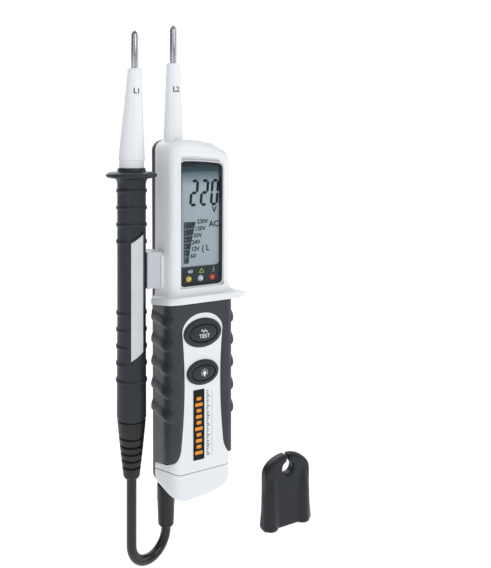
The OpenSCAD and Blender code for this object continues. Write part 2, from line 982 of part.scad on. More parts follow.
module strain_relief_l1() {
    relief_len = handle_bottom - relief_bottom;
    groove_zs = [-165.6, -169.2, -172.4, -175.6, -178.8];
    color([0.15, 0.155, 0.17])
    difference() {
        union() {
            rod(handle_x, 0, relief_bottom, handle_bottom - 0.1, 3.3, handle_r);
            rod(handle_x, 0, handle_bottom - 0.2, -152, 4.3, 4.3);
        }
        rod(handle_x, 0, relief_bottom - cut, -150, lead_r + 0.02, lead_r + 0.02);
        for (z = groove_zs)
            difference() {
                rod(handle_x, 0, z, z + 0.9, 8, 8);
                rod(handle_x, 0, z, z + 0.9,
                    3.3 + (handle_r - 3.3) * (z - relief_bottom) / relief_len - 0.7,
                    3.3 + (handle_r - 3.3) * (z - relief_bottom) / relief_len - 0.7);
            }
    }
}

// ---- Tip guard ----

// Rubber cover for both docked tips: two blind sockets at the pin pitch and a split hanging hole
module tip_guard() {
    tube_r = 4.3;
    hole_z = base_z + guard_h - 6.4;
    color([0.1, 0.11, 0.12])
    difference() {
        union() {
            through_y(-2.6, 2.6)
                polygon(rounded([
                    [guard_x - guard_w / 2, base_z, 1],
                    [guard_x + guard_w / 2, base_z, 1],
                    [guard_x + guard_w / 2 - 0.8, base_z + 22, 3],
                    [guard_x + 9, base_z + guard_h - 6, 4],
                    [guard_x + 7, base_z + guard_h, 6.5],
                    [guard_x - 7, base_z + guard_h, 6.5],
                    [guard_x - 9, base_z + guard_h - 6, 4],
                    [guard_x - guard_w / 2 + 0.8, base_z + 22, 3]]));
            for (side = [-1, 1]) {
                rod(guard_x + side * pin_pitch / 2, 0, base_z, base_z + 21, tube_r, tube_r);
                translate([guard_x + side * pin_pitch / 2, 0, base_z + 21])
                    sphere(r = tube_r);
            }
        }
        for (side = [-1, 1])
            rod(guard_x + side * pin_pitch / 2, 0, base_z - cut, base_z + 19, 3.1, 3.1);
        rod_y(guard_x, hole_z, -10, 10, 3.4);
        block(guard_x - 0.7, guard_x + 0.7, -10, 10, hole_z, base_z + guard_h + cut);
    }
}

front_shell();
rear_shell();
grip_overmould();
case_seal();
case_screws();
window_lens();
display_mask();
lcd_panel();
lcd_backlight();
lcd_connectors();
led_yellow();
led_white();
led_red();
main_board();
board_chips();
input_resistors();
test_switch();
light_switch();
buzzer();
torch_led();
torch_lens();
probe_sleeve_l2();
probe_pin_l2();
pin_contact_l2();
button_ring_test();
button_ring_light();
test_button();
test_plunger();
light_button();
light_plunger();
battery_tray();
battery_cells();
battery_contacts();
front_label();
rear_label();
dock_rail();
lead_boot_l2();
lead_l2();
end_cap();
battery_springs();
cap_seal();
cap_screw();
handle_l1();
probe_sleeve_l1();
probe_pin_l1();
contact_spring_l1();
resistor_l1();
label_l1();
dock_clip();
strain_relief_l1();
lead_l1();
tip_guard();
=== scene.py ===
"""Looks of a two-pole voltage tester, built around its CAD parts.

Shapes are worked out in millimetres on the frame's axes; piece() turns them into metres.
A part is a pair (points, faces). +Z runs towards the probe tips, and the display faces -Y.
"""

from math import acos, atan2, cos, hypot, pi, radians, sin, sqrt, tan

import bmesh
import bpy
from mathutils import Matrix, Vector
from mathutils.geometry import tessellate_polygon


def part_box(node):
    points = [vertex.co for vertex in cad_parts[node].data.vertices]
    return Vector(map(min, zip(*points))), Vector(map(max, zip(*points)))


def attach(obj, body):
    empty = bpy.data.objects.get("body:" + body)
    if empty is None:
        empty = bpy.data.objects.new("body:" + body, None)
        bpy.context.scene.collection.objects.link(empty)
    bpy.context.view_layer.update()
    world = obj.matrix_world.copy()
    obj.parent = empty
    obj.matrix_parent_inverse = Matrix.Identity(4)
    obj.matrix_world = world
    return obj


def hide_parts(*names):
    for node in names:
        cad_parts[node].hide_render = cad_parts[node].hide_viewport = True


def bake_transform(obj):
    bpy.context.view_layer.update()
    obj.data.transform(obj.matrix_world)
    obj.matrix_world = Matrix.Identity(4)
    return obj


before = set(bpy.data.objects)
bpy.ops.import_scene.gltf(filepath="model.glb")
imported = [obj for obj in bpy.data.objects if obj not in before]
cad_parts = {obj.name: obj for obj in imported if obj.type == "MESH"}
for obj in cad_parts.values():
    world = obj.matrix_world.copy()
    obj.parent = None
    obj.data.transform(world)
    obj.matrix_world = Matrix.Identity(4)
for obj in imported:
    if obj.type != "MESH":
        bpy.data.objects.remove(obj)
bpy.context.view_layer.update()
MM = 0.001


# ---- Places and sizes, from the frame ----

def corners(node):
    """Lowest and highest corner of a CAD node, in millimetres."""
    low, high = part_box(node)
    return low / MM, high / MM


def middle(node):
    """Middle of a CAD node's box, in millimetres."""
    return [(a + b) / 2 for a, b in zip(*corners(node))]


REAR_LOW, REAR_HIGH = corners("rear_shell")
GRIP_LOW = corners("grip_overmould")[0]
LENS_LOW, LENS_HIGH = corners("window_lens")
FLANGE_LOW, FLANGE_HIGH = corners("front_shell")
HANDLE_LOW, HANDLE_HIGH = corners("handle_l1")

CASE_LEFT, CASE_RIGHT = REAR_LOW.x, REAR_HIGH.x
CASE_MID = (CASE_LEFT + CASE_RIGHT) / 2
CASE_HALF = (CASE_RIGHT - CASE_LEFT) / 2
SPLIT_Y = REAR_LOW.y - 0.1
BACK_Y = REAR_HIGH.y
FRONT_Y = LENS_LOW.y - 0.25
PAD_Y = GRIP_LOW.y
FOOT_Z = REAR_LOW.z
CROWN_TOP = REAR_HIGH.z
CROWN_X = CASE_MID - 7
CROWN_FALL = 0.013
WALL = 2.0
EDGE_WIDTH = 4.4
CASE_EDGE_DEPTH = 4.6
BODY_EDGE_DEPTH = 7.6
REAR_EDGE = 2.1
SOUND_R, SOUND_PITCH, SOUND_Z = 0.55, 2.6, -60
FOOT_RADIUS = 4.6
SEAM_Z = corners("end_cap")[1].z
SEAM_SLOPE = 0.33
SEAM_GAP = 0.13
FLANGE_FRONT = FLANGE_LOW.y
FLANGE_TIP = FLANGE_HIGH.x
FLANGE_FOOT = -105.9
FLANGE_SLOPE = 0.2
GRIP_FRONT_FOOT = -177.4
PANEL_X = middle("test_button")[0]
PANEL_ARCH = (11.3, 7.9)
PANEL_ARCH_Z = -119.2
PANEL_WAIST_Z = -142.0
PANEL_FLARE_Z = -168.0
RIB_Z = -115.0
RIB_PITCH = 10.25
LCD_Y = corners("lcd_panel")[0].y
L2_TOP = corners("probe_sleeve_l2")[1].z
L1_TOP = corners("probe_sleeve_l1")[1].z
L1_X = middle("probe_pin_l1")[0]
HANDLE_X = middle("handle_l1")[0]
BOOT_LOW, BOOT_HIGH = corners("lead_boot_l2")
BOOT_X, BOOT_Y, _ = middle("lead_boot_l2")
RELIEF_LOW = corners("strain_relief_l1")[0]
GUARD_LOW, GUARD_HIGH = corners("tip_guard")
BASE_Z = GUARD_LOW.z


# ---- Shape helpers ----

def spread(first, last, count):
    """Evenly spaced numbers, both ends included."""
    return [first + (last - first) * i / (count - 1) for i in range(count)]


def clamp(value, low=0.0, high=1.0):
    return max(low, min(high, value))


def smooth(value):
    value = clamp(value)
    return value * value * (3 - 2 * value)


def turn(count):
    """Angles of evenly spaced points round a circle."""
    return [2 * pi * k / count for k in range(count)]


def quarter(steps):
    """Evenly spaced angles from 0 to 90 degrees, both ends included."""
    return [radians(90) * k / steps for k in range(steps + 1)]


def upright(outline, y):
    """A ring of an outline stood up at depth y."""
    return [(p.x, y, p.y) for p in outline]


def ellipse(x, z, a, b, count=72):
    return [Vector((x + a * cos(t), z + b * sin(t))) for t in turn(count)]


def placed(pairs, x, z):
    """Points from (x, z) pairs, moved to a place."""
    return [Vector((x + px, z + pz)) for px, pz in pairs]


def rounded(rows, steps=7):
    """Points of a closed outline from (x, z, corner radius) rows."""
    outline = []
    for i, (x, z, radius) in enumerate(rows):
        corner = Vector((x, z))
        if radius <= 0:
            outline.append(corner)
            continue
        u = (Vector(rows[i - 1][:2]) - corner).normalized()
        v = (Vector(rows[(i + 1) % len(rows)][:2]) - corner).normalized()
        half = acos(clamp(u.dot(v), -1, 1)) / 2
        centre = corner + (u + v).normalized() * radius / sin(half)
        first = corner + u * radius / tan(half) - centre
        last = corner + v * radius / tan(half) - centre
        start = atan2(first.y, first.x)
        sweep = (atan2(last.y, last.x) - start + pi) % (2 * pi) - pi
        for k in range(steps + 1):
            angle = start + sweep * k / steps
            outline.append(centre + radius * Vector((cos(angle), sin(angle))))
    return outline


def box_rows(x0, x1, z0, z1, radius):
    return [(x0, z0, radius), (x1, z0, radius), (x1, z1, radius), (x0, z1, radius)]


def grown(outline, amount):
    """A closed outline moved out by an amount, or in when it is negative."""
    area = sum(a.x * b.y - b.x * a.y for a, b in zip(outline, outline[1:] + outline[:1]))
    side = 1 if area > 0 else -1
    moved = []
    for i, point in enumerate(outline):
        before = (point - outline[i - 1]).normalized()
        after = (outline[(i + 1) % len(outline)] - point).normalized()
        normal = Vector((before.y + after.y, -before.x - after.x)).normalized() * side
        spread_out = max(0.5, normal.dot(Vector((after.y, -after.x)) * side))
        moved.append(point + normal * amount / spread_out)
    return moved


def stack(rings, closed=True, cap_first=True, cap_last=True):
    """A part from rings of equally many points, each joined to the next."""
    points, faces = [], []
    count = len(rings[0])
    for ring in rings:
        points.extend(tuple(p) for p in ring)
    for i in range(len(rings) - 1):
        for j in range(count if closed else count - 1):
            k = (j + 1) % count
            faces.append((i * count + j, i * count + k, (i + 1) * count + k, (i + 1) * count + j))
    if cap_first:
        faces.append(tuple(range(count - 1, -1, -1)))
    if cap_last:
        faces.append(tuple(range((len(rings) - 1) * count, len(rings) * count)))
    return points, faces


def merged(*parts):
    """One part from several."""
    points, faces = [], []
    for part_points, part_faces in parts:
        start = len(points)
        points.extend(part_points)
        faces.extend(tuple(start + i for i in face) for face in part_faces)
    return points, faces


def welded(sheet, skin):
    """A sheet and its skin with the sheet's coinciding points made one."""
    first, kept, numbers = {}, [], []
    for i, point in enumerate(sheet[0]):
        key = tuple(round(c, 4) for c in point)
        if key not in first:
            first[key] = len(kept)
            kept.append(i)
        numbers.append(first[key])
    faces = [tuple(dict.fromkeys(numbers[i] for i in face)) for face in sheet[1]]
    faces = [face for face in faces if len(face) > 2]
    return ([sheet[0][i] for i in kept], faces), [skin[i] for i in kept]


def thicken(sheet, inner_points):
    """Closes an open sheet into a solid, with a second skin at inner_points."""
    points, faces = sheet
    count = len(points)
    edges = {(a, b) for face in faces for a, b in zip(face, face[1:] + face[:1])}
    solid = list(faces) + [tuple(count + i for i in reversed(face)) for face in faces]
    solid += [(b, a, count + a, count + b) for a, b in sorted(edges) if (b, a) not in edges]
    return list(points) + list(inner_points), solid


def fill_between(points, outer, holes):
    """Flat faces inside the ring outer and round the rings holes. Rings are lists of point numbers."""
    loops = [outer] + holes
    flat = [[Vector((points[i][0], points[i][2], 0)) for i in loop] for loop in loops]
    numbers = [i for loop in loops for i in loop]
    around = sum(a.x * b.y - b.x * a.y for a, b in zip(flat[0], flat[0][1:] + flat[0][:1]))
    faces = []
    for triangle in tessellate_polygon(flat):
        a, b, c = (numbers[i] for i in triangle)
        pa, pb, pc = points[a], points[b], points[c]
        area = (pb[0] - pa[0]) * (pc[2] - pa[2]) - (pc[0] - pa[0]) * (pb[2] - pa[2])
        faces.append((a, b, c) if area * around > 0 else (a, c, b))
    return faces


def slanted(rows, y=0.0, segments=72):
    """Turned rings whose middle may move sideways, from (radius, z, x) rows."""
    return stack([[(x + r * cos(a), y + r * sin(a), z) for a in turn(segments)] for r, z, x in rows])


def lathe(rows, x=0.0, y=0.0, segments=72):
    """A turned part round a vertical axis, from (radius, z) rows."""
    return slanted([(max(radius, 0.004), z, x) for radius, z in rows], y, segments)


def arc_rows(r, z, radius, first, last, steps=5):
    """(radius, z) rows along an arc centred at (r, z), between two angles in degrees."""
    return [(r + radius * cos(radians(a)), z + radius * sin(radians(a)))
            for a in spread(first, last, steps + 1)]


def plate(outline, front, back, edge=0.0, steps=4):
    """A plate in the X-Z plane from front to back, with a rounded front edge."""
    rings = [upright(outline, back)]
    for a in quarter(steps) if edge > 0 else [0.0]:
        rings.append(upright(grown(outline, -edge * (1 - cos(a))), front + edge * (1 - sin(a))))
    return stack(rings)


def tube(path, radius, across, segments=28):
    """A round tube along points that lie in the plane at right angles to across."""
    rings = []
    for i, point in enumerate(path):
        ahead = path[min(i + 1, len(path) - 1)]
        behind = path[max(i - 1, 0)]
        normal = (ahead - behind).normalized().cross(across)
        rings.append([tuple(point + radius * (cos(a) * normal + sin(a) * across)) for a in turn(segments)])
    return stack(rings)


def lettering(text, height, thickness=0.03, bold=0.0):
    """A flat text as a part: x to the right, z up, middle at the origin, facing -Y."""
    curve = bpy.data.curves.new("lettering", "FONT")
    curve.body = text
    curve.size = height / 0.72
    curve.align_x, curve.align_y = "CENTER", "CENTER"
    curve.resolution_u = 3
    curve.extrude = thickness / 2
    curve.offset = bold
    obj = bpy.data.objects.new("lettering", curve)
    bpy.context.scene.collection.objects.link(obj)
    mesh = bpy.data.meshes.new_from_object(obj.evaluated_get(bpy.context.evaluated_depsgraph_get()))
    points = [(v.co.x, -v.co.z, v.co.y) for v in mesh.vertices]
    faces = [tuple(p.vertices) for p in mesh.polygons]
    bpy.data.objects.remove(obj)
    bpy.data.meshes.remove(mesh)
    bpy.data.curves.remove(curve)
    return points, faces


def moved(part, x=0.0, y=0.0, z=0.0):
    return [(p[0] + x, p[1] + y, p[2] + z) for p in part[0]], part[1]


def bent(part, rule):
    """A part with each point put through a rule."""
    return [rule(*p) for p in part[0]], part[1]


def piece(name, part, material, body, replaces=(), slot=None, sharp=32):
    """Makes an object from a part, on a CAD body. Its slot argument is not used."""
    mesh = bpy.data.meshes.new(name)
    mesh.from_pydata([Vector(p) * MM for p in part[0]], [], part[1])
    work = bmesh.new()
    work.from_mesh(mesh)
    bmesh.ops.remove_doubles(work, verts=work.verts, dist=2e-6)
    bmesh.ops.dissolve_degenerate(work, edges=work.edges, dist=1e-6)
    bmesh.ops.recalc_face_normals(work, faces=work.faces)
    work.to_mesh(mesh)
    work.free()
    mesh.shade_smooth()
    mesh.set_sharp_from_angle(angle=radians(sharp))
    mesh.materials.append(material)
    obj = bpy.data.objects.new(name, mesh)
    bpy.context.scene.collection.objects.link(obj)
    if body:
        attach(obj, body)
    if replaces:
        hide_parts(*replaces)
    if body or replaces:
        slot or material.name.split(".")[0]
    return obj


def cut_away(obj, tools):
    """Cuts closed pieces out of an object; settle() makes the cuts part of its mesh."""
    for tool in tools:
        cut = obj.modifiers.new("cut", "BOOLEAN")
        cut.object, cut.operation, cut.solver, cut.use_self = tool, "DIFFERENCE", "EXACT", True


def settle(obj, tools=()):
    """Makes an object's modifiers part of its mesh, without doubled faces, and removes their tools."""
    mesh = bpy.data.meshes.new_from_object(obj.evaluated_get(bpy.context.evaluated_depsgraph_get()))
    mesh.validate()
    obj.modifiers.clear()
    obj.data = mesh
    for tool in tools:
        bpy.data.objects.remove(tool)


# ---- Materials ----

def linear(red, green, blue):
    """Linear colour from display values of 0 to 255."""
    return tuple(c / 3294.6 if c <= 10 else ((c / 255 + 0.055) / 1.055) ** 2.4
                 for c in (red, green, blue)) + (1.0,)


def add_noise(tree, size, detail=3.0, stretch=(1, 1, 1)):
    """A noise texture whose features are about size millimetres across."""
    coords = add_node(tree, "TexCoord")
    mapping = add_node(tree, "Mapping", Scale=[s / (size * MM) for s in stretch])
    noise = add_node(tree, "TexNoise", Scale=1.0, Detail=detail)
    tree.links.new(coords.outputs["Object"], mapping.inputs["Vector"])
    tree.links.new(mapping.outputs["Vector"], noise.inputs["Vector"])
    return noise.outputs["Fac"]


def add_range(tree, value, low, high, to_low, to_high):
    node = add_node(tree, "MapRange", From_Min=low, From_Max=high, To_Min=to_low, To_Max=to_high)
    tree.links.new(value, node.inputs["Value"])
    return node.outputs["Result"]


def add_mix(tree, factor, first, second):
    """Mixes two colours; each is a colour or a socket."""
    node = add_node(tree, "Mix")
    node.data_type = "RGBA"
    tree.links.new(factor, node.inputs[0])
    for socket, colour in ((node.inputs[6], first), (node.inputs[7], second)):
        if isinstance(colour, tuple):
            socket.default_value = colour
        else:
            tree.links.new(colour, socket)
    return node.outputs[2]


def set_inputs(node, **values):
    """Sets a node's inputs by name, with _ for a space."""
    for name, value in values.items():
        node.inputs[name.replace("_", " ")].default_value = value


def add_node(tree, kind, **values):
    node = tree.nodes.new("ShaderNode" + kind)
    set_inputs(node, **values)
    return node


def cover(material, factor, colour):
    """Mixes a second colour over a material's own, by a socket."""
    tree = material.node_tree
    base = tree.nodes["Principled BSDF"].inputs["Base Color"]
    tree.links.new(add_mix(tree, factor, base.links[0].from_socket, linear(*colour)), base)
    return material


def scaled(colour, factor):
    return tuple(min(1.0, c * factor) for c in colour[:3]) + (1.0,)


def surface(name, colour, rough, spec=0.5, metal=0.0, coat=0.0, grain=0.15, grain_size=0.25,
            mottle=0.08, mottle_size=9.0, wear=0.0, stretch=(1, 1, 1)):
    """A moulded or metal finish: soft colour variation, uneven gloss, fine grain and worn edges.

    Its colour is given in display values of 0 to 255."""
    colour = linear(*colour)
    material = bpy.data.materials.new(name)
    material.use_nodes = True
    tree = material.node_tree
    shader = tree.nodes["Principled BSDF"]
    cloud = add_noise(tree, mottle_size, 4.0)
    tint = add_mix(tree, add_range(tree, cloud, 0.3, 0.7, 0, 1), scaled(colour, 1 - mottle),
                   scaled(colour, 1 + mottle))
    gloss = add_range(tree, add_noise(tree, 3.5, 5.0, stretch), 0.3, 0.7, rough * 0.88, rough * 1.12)
    if wear > 0:
        geometry = add_node(tree, "NewGeometry")
        edge = add_range(tree, geometry.outputs["Pointiness"], 0.52, 0.6, 0, wear)
        tint = add_mix(tree, edge, tint, scaled(colour, 1.9))
    tree.links.new(tint, shader.inputs["Base Color"])
    tree.links.new(gloss, shader.inputs["Roughness"])
    set_inputs(shader, Metallic=metal, Specular_IOR_Level=spec, Coat_Weight=coat, Coat_Roughness=0.12)
    if grain > 0:
        bump = add_node(tree, "Bump", Strength=grain, Distance=0.05 * MM)
        tree.links.new(add_noise(tree, grain_size, 2.0, stretch), bump.inputs["Height"])
        tree.links.new(bump.outputs["Normal"], shader.inputs["Normal"])
    return material


def add_height(tree, low, high):
    """0 at one height and 1 at another, in millimetres along Z."""
    coords = add_node(tree, "TexCoord")
    split = add_node(tree, "SeparateXYZ")
    tree.links.new(coords.outputs["Object"], split.inputs["Vector"])
    return add_range(tree, split.outputs["Z"], low * MM, high * MM, 0, 1)


def display_glass():
    """Pale liquid crystal glass, with painted shade: darker towards the opening's top edge."""
    material = surface("lcd_glass", (176, 187, 193), 0.35, grain=0.05, mottle=0.04)
    # Painted shade: colour darkens towards the window's top edge.
    shade = add_height(material.node_tree, LENS_HIGH.z - 11.5, LENS_HIGH.z - 5)
    return cover(material, shade, (84, 106, 116))


def mask_print():
    """Dark teal print behind the window, with a painted highlight: a lighter band near its top."""
    material = surface("mask_print", (22, 38, 43), 0.3, spec=0.25, grain=0.04,
                       mottle=0.25, mottle_size=14)
    tree = material.node_tree
    # Painted highlight: a lighter band a little below the window's top edge, on the dark print.
    glow = add_height(tree, LENS_HIGH.z - 1.2, LENS_HIGH.z - 5.4)
    low_part = add_height(tree, LENS_HIGH.z - 8, LENS_HIGH.z - 6)
    both = add_node(tree, "Math")
    both.operation = "MULTIPLY"
    tree.links.new(glow, both.inputs[0])
    tree.links.new(low_part, both.inputs[1])
    return cover(material, both.outputs[0], (62, 82, 90))


def clear_window(name, shine):
    """A clear sheet: seen through, with a weak mirror of its surroundings that grows at a slant."""
    material = bpy.data.materials.new(name)
    material.use_nodes = True
    tree = material.node_tree
    tree.nodes.remove(tree.nodes["Principled BSDF"])
    out = tree.nodes["Material Output"]
    through = add_node(tree, "BsdfTransparent", Color=(0.95, 0.96, 0.965, 1))
    mirror = add_node(tree, "BsdfGlossy")
    smudge = add_range(tree, add_noise(tree, 12, 4.0), 0.35, 0.7, 0.03, 0.12)
    tree.links.new(smudge, mirror.inputs["Roughness"])
    slant = add_node(tree, "Fresnel", IOR=1.45)
    share = add_range(tree, slant.outputs["Fac"], 0, 1, 0, shine)
    mix = add_node(tree, "MixShader")
    tree.links.new(share, mix.inputs["Fac"])
    tree.links.new(through.outputs["BSDF"], mix.inputs[1])
    tree.links.new(mirror.outputs["BSDF"], mix.inputs[2])
    tree.links.new(mix.outputs["Shader"], out.inputs["Surface"])
    return material


def lamp(name, colour, glow):
    """Coloured epoxy with a soft glow that is strongest where it faces the viewer."""
    material = surface(name, colour, 0.25, spec=0.5, coat=0.5, grain=0.02, mottle=0.05)
    tree = material.node_tree
    shader = tree.nodes["Principled BSDF"]
    facing = add_node(tree, "LayerWeight", Blend=0.4)
    strength = add_range(tree, facing.outputs["Facing"], 0, 0.8, glow, 0.0)
    set_inputs(shader, Emission_Color=linear(*colour))
    tree.links.new(strength, shader.inputs["Emission Strength"])
    return material


def board_green():
    """Solder resist with fine copper tracks under it."""
    material = surface("board_green", (24, 84, 48), 0.35, grain=0.1)
    tree = material.node_tree
    black, white = (0, 0, 0, 1), (1, 1, 1, 1)
    coords = add_node(tree, "TexCoord")
    bricks = add_node(tree, "TexBrick", Scale=160, Mortar_Size=0.03, Color1=black, Color2=black, Mortar=white)
    mapping = add_node(tree, "Mapping", Rotation=(radians(90), 0, 0))
    tree.links.new(coords.outputs["Object"], mapping.inputs["Vector"])
    tree.links.new(mapping.outputs["Vector"], bricks.inputs["Vector"])
    track = add_range(tree, bricks.outputs["Fac"], 0, 1, 0, 0.6)
    return cover(material, track, (70, 140, 70))


WHITE = surface("white_shell", (227, 229, 232), 0.42, spec=0.35, grain=0.12, mottle=0.012, wear=0.1)
SLEEVE = surface("white_sleeve", (228, 230, 232), 0.36, spec=0.35, grain=0.06, mottle=0.012)
CHARCOAL = surface("charcoal_shell", (38, 41, 46), 0.5, spec=0.3, grain=0.35, wear=0.05)
HANDLE = surface("charcoal_handle", (33, 37, 44), 0.46, spec=0.34, grain=0.2, mottle=0.1, wear=0.06)
GRIP = surface("grip_rubber", (44, 48, 54), 0.44, spec=0.42, grain=0.3, grain_size=0.2, mottle=0.1,
               wear=0.05)
KEY = surface("button_rubber", (38, 42, 47), 0.5, spec=0.35, grain=0.3, grain_size=0.16, mottle=0.1,
              wear=0.04)
BOOT = surface("boot_rubber", (24, 26, 29), 0.42, spec=0.35, grain=0.2, mottle=0.1)
GUARD = surface("guard_rubber", (18, 23, 29), 0.4, spec=0.35, grain=0.25, mottle=0.15, wear=0.04)
LEAD = surface("lead_jacket", (16, 17, 20), 0.3, spec=0.45, grain=0.08, mottle=0.1)
CORD = surface("black_rubber", (20, 20, 21), 0.7, grain=0.2)
PIN = surface("pin_metal", (158, 161, 166), 0.26, metal=1.0, grain=0.1, mottle=0.06, stretch=(1, 1, 0.08))
SCREW = surface("screw_steel", (150, 152, 156), 0.34, metal=1.0, grain=0.15, mottle=0.08)
SPRING = surface("spring_steel", (176, 176, 170), 0.3, metal=1.0, grain=0.1)
BRASS = surface("contact_brass", (205, 170, 90), 0.32, metal=1.0, grain=0.1)
LABEL_GREY = surface("grey_label", (203, 205, 204), 0.6, spec=0.2, grain=0.15, mottle=0.03)
CLIP_GREY = surface("grey_clip", (196, 199, 203), 0.45, spec=0.3, grain=0.12, mottle=0.02)
PLATE_GREY = surface("rear_label", (172, 174, 176), 0.5, spec=0.25, grain=0.1, mottle=0.04)
LABEL_BLACK = surface("front_label", (12, 12, 13), 0.4, spec=0.2, grain=0.05)
INK_ORANGE = surface("orange_ink", (232, 146, 44), 0.5, spec=0.2, grain=0.05, mottle=0.06, mottle_size=2)
INK_DARK = surface("dark_ink", (70, 74, 80), 0.6, spec=0.1, grain=0.05)
INK_WHITE = surface("white_ink", (232, 234, 236), 0.5, spec=0.2, grain=0.05, mottle=0.03)
INK_LIME = surface("lime_ink", (186, 200, 60), 0.5, spec=0.2, grain=0.05, mottle=0.05)
SEGMENT = surface("segment_ink", (20, 26, 32), 0.5, spec=0.1, grain=0.03, mottle=0.15, mottle_size=3)
SEGMENT_SOFT = surface("segment_soft", (52, 62, 70), 0.5, spec=0.1, grain=0.03, mottle=0.15, mottle_size=3)
SEGMENT_LIGHT = surface("segment_light", (120, 138, 148), 0.5, spec=0.1, grain=0.03)
DARK_PLASTIC = surface("switch_black", (34, 35, 38), 0.5, spec=0.3, grain=0.2)
CHIP = surface("chip_black", (24, 24, 26), 0.55, spec=0.3, grain=0.3)
RESISTOR = surface("resistor_blue", (110, 150, 190), 0.3, coat=0.4, grain=0.1)
PLUNGER = surface("plunger_plastic", (225, 223, 212), 0.45, grain=0.1)
DIFFUSER = surface("backlight_plastic", (236, 238, 232), 0.5, grain=0.1)
ZEBRA = surface("connector_rubber", (214, 160, 170), 0.6, grain=0.2)
JACKET = surface("cell_jacket", (196, 150, 62), 0.3, metal=0.6, coat=0.3, grain=0.05)
MASK = mask_print()
WINDOW = clear_window("window_glass", 0.3)
TORCH_GLASS = clear_window("torch_glass", 0.8)


# ---- The case ----

def crown(x):
    """Height of the case's rounded top edge."""
    return CROWN_TOP - CROWN_FALL * (x - CROWN_X) ** 2


def seam(y):
    """Height of the end cap's seam, which drops towards the back."""
    return SEAM_Z - SEAM_SLOPE * max(0.0, y + 8)


def foot(x):
    """Height of the slightly bowed foot."""
    return FOOT_Z + 0.005 * (x + 2) ** 2


def crown_rows(inset):
    """The top of the case's outline, from its right side to its left."""
    radius = max(5.0 - inset, 0.8)
    middle = [(x, crown(x) - inset, 0) for x in spread(CASE_RIGHT - 7, CASE_LEFT + 7, 9)]
    return ([(CASE_RIGHT - inset, crown(CASE_RIGHT) - inset, radius)] + middle
            + [(CASE_LEFT + inset, crown(CASE_LEFT) - inset, radius)])


def fillet(width, depth, front, steps=9):
    """(inset, y) rows of a rounded edge that runs from the sides onto a front at y = front."""
    return [(width * (1 - cos(a)), front + depth * (1 - sin(a)))
            for a in quarter(steps)]


def window_outline(grow):
    """The window's outline, rounder at its top."""
    left, right = LENS_LOW.x - 0.1, LENS_HIGH.x + 0.1
    top = [(left + (right - left) * s, LENS_HIGH.z + 0.1 - 1.5 * s * s + grow, 0)
           for s in spread(0.75, 0.25, 7)]
    return rounded([
        (left + 0.3 - grow, LENS_LOW.z - grow, 2.2 + grow),
        (right - 0.3 + grow, LENS_LOW.z - grow, 2.2 + grow),
        (right + grow, LENS_HIGH.z - 1.4 + grow, 2.6 + grow)] + top + [
        (left - grow, LENS_HIGH.z + 0.1 + grow, 2.8 + grow)])


def add_display_case():
    """White upper case: rolled edges, a crowned top and the window's opening with an eased rim."""
    joint_z = FLANGE_FOOT + 2.5

    def ring(inset, y):
        rows = [(CASE_LEFT + inset, joint_z, 0), (CASE_RIGHT - inset, joint_z, 0)] + crown_rows(inset)
        return upright(rounded(rows, 8), y)

    rows = [(0.0, SPLIT_Y), (0.0, 0.0)] + fillet(EDGE_WIDTH, CASE_EDGE_DEPTH, FRONT_Y)
    outer = [ring(*row) for row in rows]
    inner = [ring(min(inset + WALL, 3.3), min(SPLIT_Y, y + WALL)) for inset, y in rows]
    points, faces = stack(outer, cap_first=False, cap_last=False)
    inner_points = [p for one in inner for p in one]
    last = list(range(len(points) - len(outer[0]), len(points)))
    rims = []
    for grow, y in ((0.55, FRONT_Y), (0.3, FRONT_Y + 0.05), (0.12, FRONT_Y + 0.25), (0.05, FRONT_Y + 1.2)):
        start = len(points)
        points += upright(window_outline(grow)[::-1], y)
        inner_points += upright(window_outline(grow + 0.4)[::-1], FRONT_Y + WALL)
        rims.append(list(range(start, len(points))))
    faces += fill_between(points, last, [rims[0]])
    for a, b in zip(rims, rims[1:]):
        for j in range(len(a)):
            k = (j + 1) % len(a)
            faces.append((a[j], a[k], b[k], b[j]))
    piece("front_case", thicken((points, faces), inner_points), WHITE, "tester", ["front_shell"])


def panel_half(z):
    """Half width of the white panel below its arch, narrowest at its waist."""
    if z > PANEL_WAIST_Z:
        return 10.0 + 1.3 * ((z - PANEL_WAIST_Z) / 22.8) ** 2
    return 10.0 + 1.6 * ((z - PANEL_WAIST_Z) / 26) ** 2


def body_edge(inset=0.0):
    """(inset, y) rows of the lower body's rolled front edges."""
    return [(i + inset, y + inset) for i, y in fillet(EDGE_WIDTH, BODY_EDGE_DEPTH, PAD_Y)]


def body_path(inset):
    """Plan of the white lower body, from its back left edge round the front to its back right edge."""
    half = [(inset, SPLIT_Y), (inset, 0.0)] + body_edge(inset)
    left = [(CASE_LEFT + i, y) for i, y in half]
    right = [(CASE_RIGHT - i, y) for i, y in reversed(half)]
    return left + [(CASE_MID, PAD_Y + inset)] + right


def add_lower_body():
    """White lower body between the flange and the end cap, open inside for the cells."""
    def layer(path, lift, top=None):
        return [(x, y, top if top is not None else seam(y) + SEAM_GAP + lift) for x, y in path]

    outside, eased, inside = body_path(0), body_path(0.25), body_path(WALL)
    sheet = stack([layer(eased, 0), layer(outside, 0.25), layer(outside, 0, FLANGE_FOOT + 1)],
                  closed=False, cap_first=False, cap_last=False)
    skin = layer(inside, 0) + layer(inside, 0.25) + layer(inside, 0, FLANGE_FOOT + 1)
    piece("front_body", thicken(sheet, skin), WHITE, "tester", ["front_shell"])


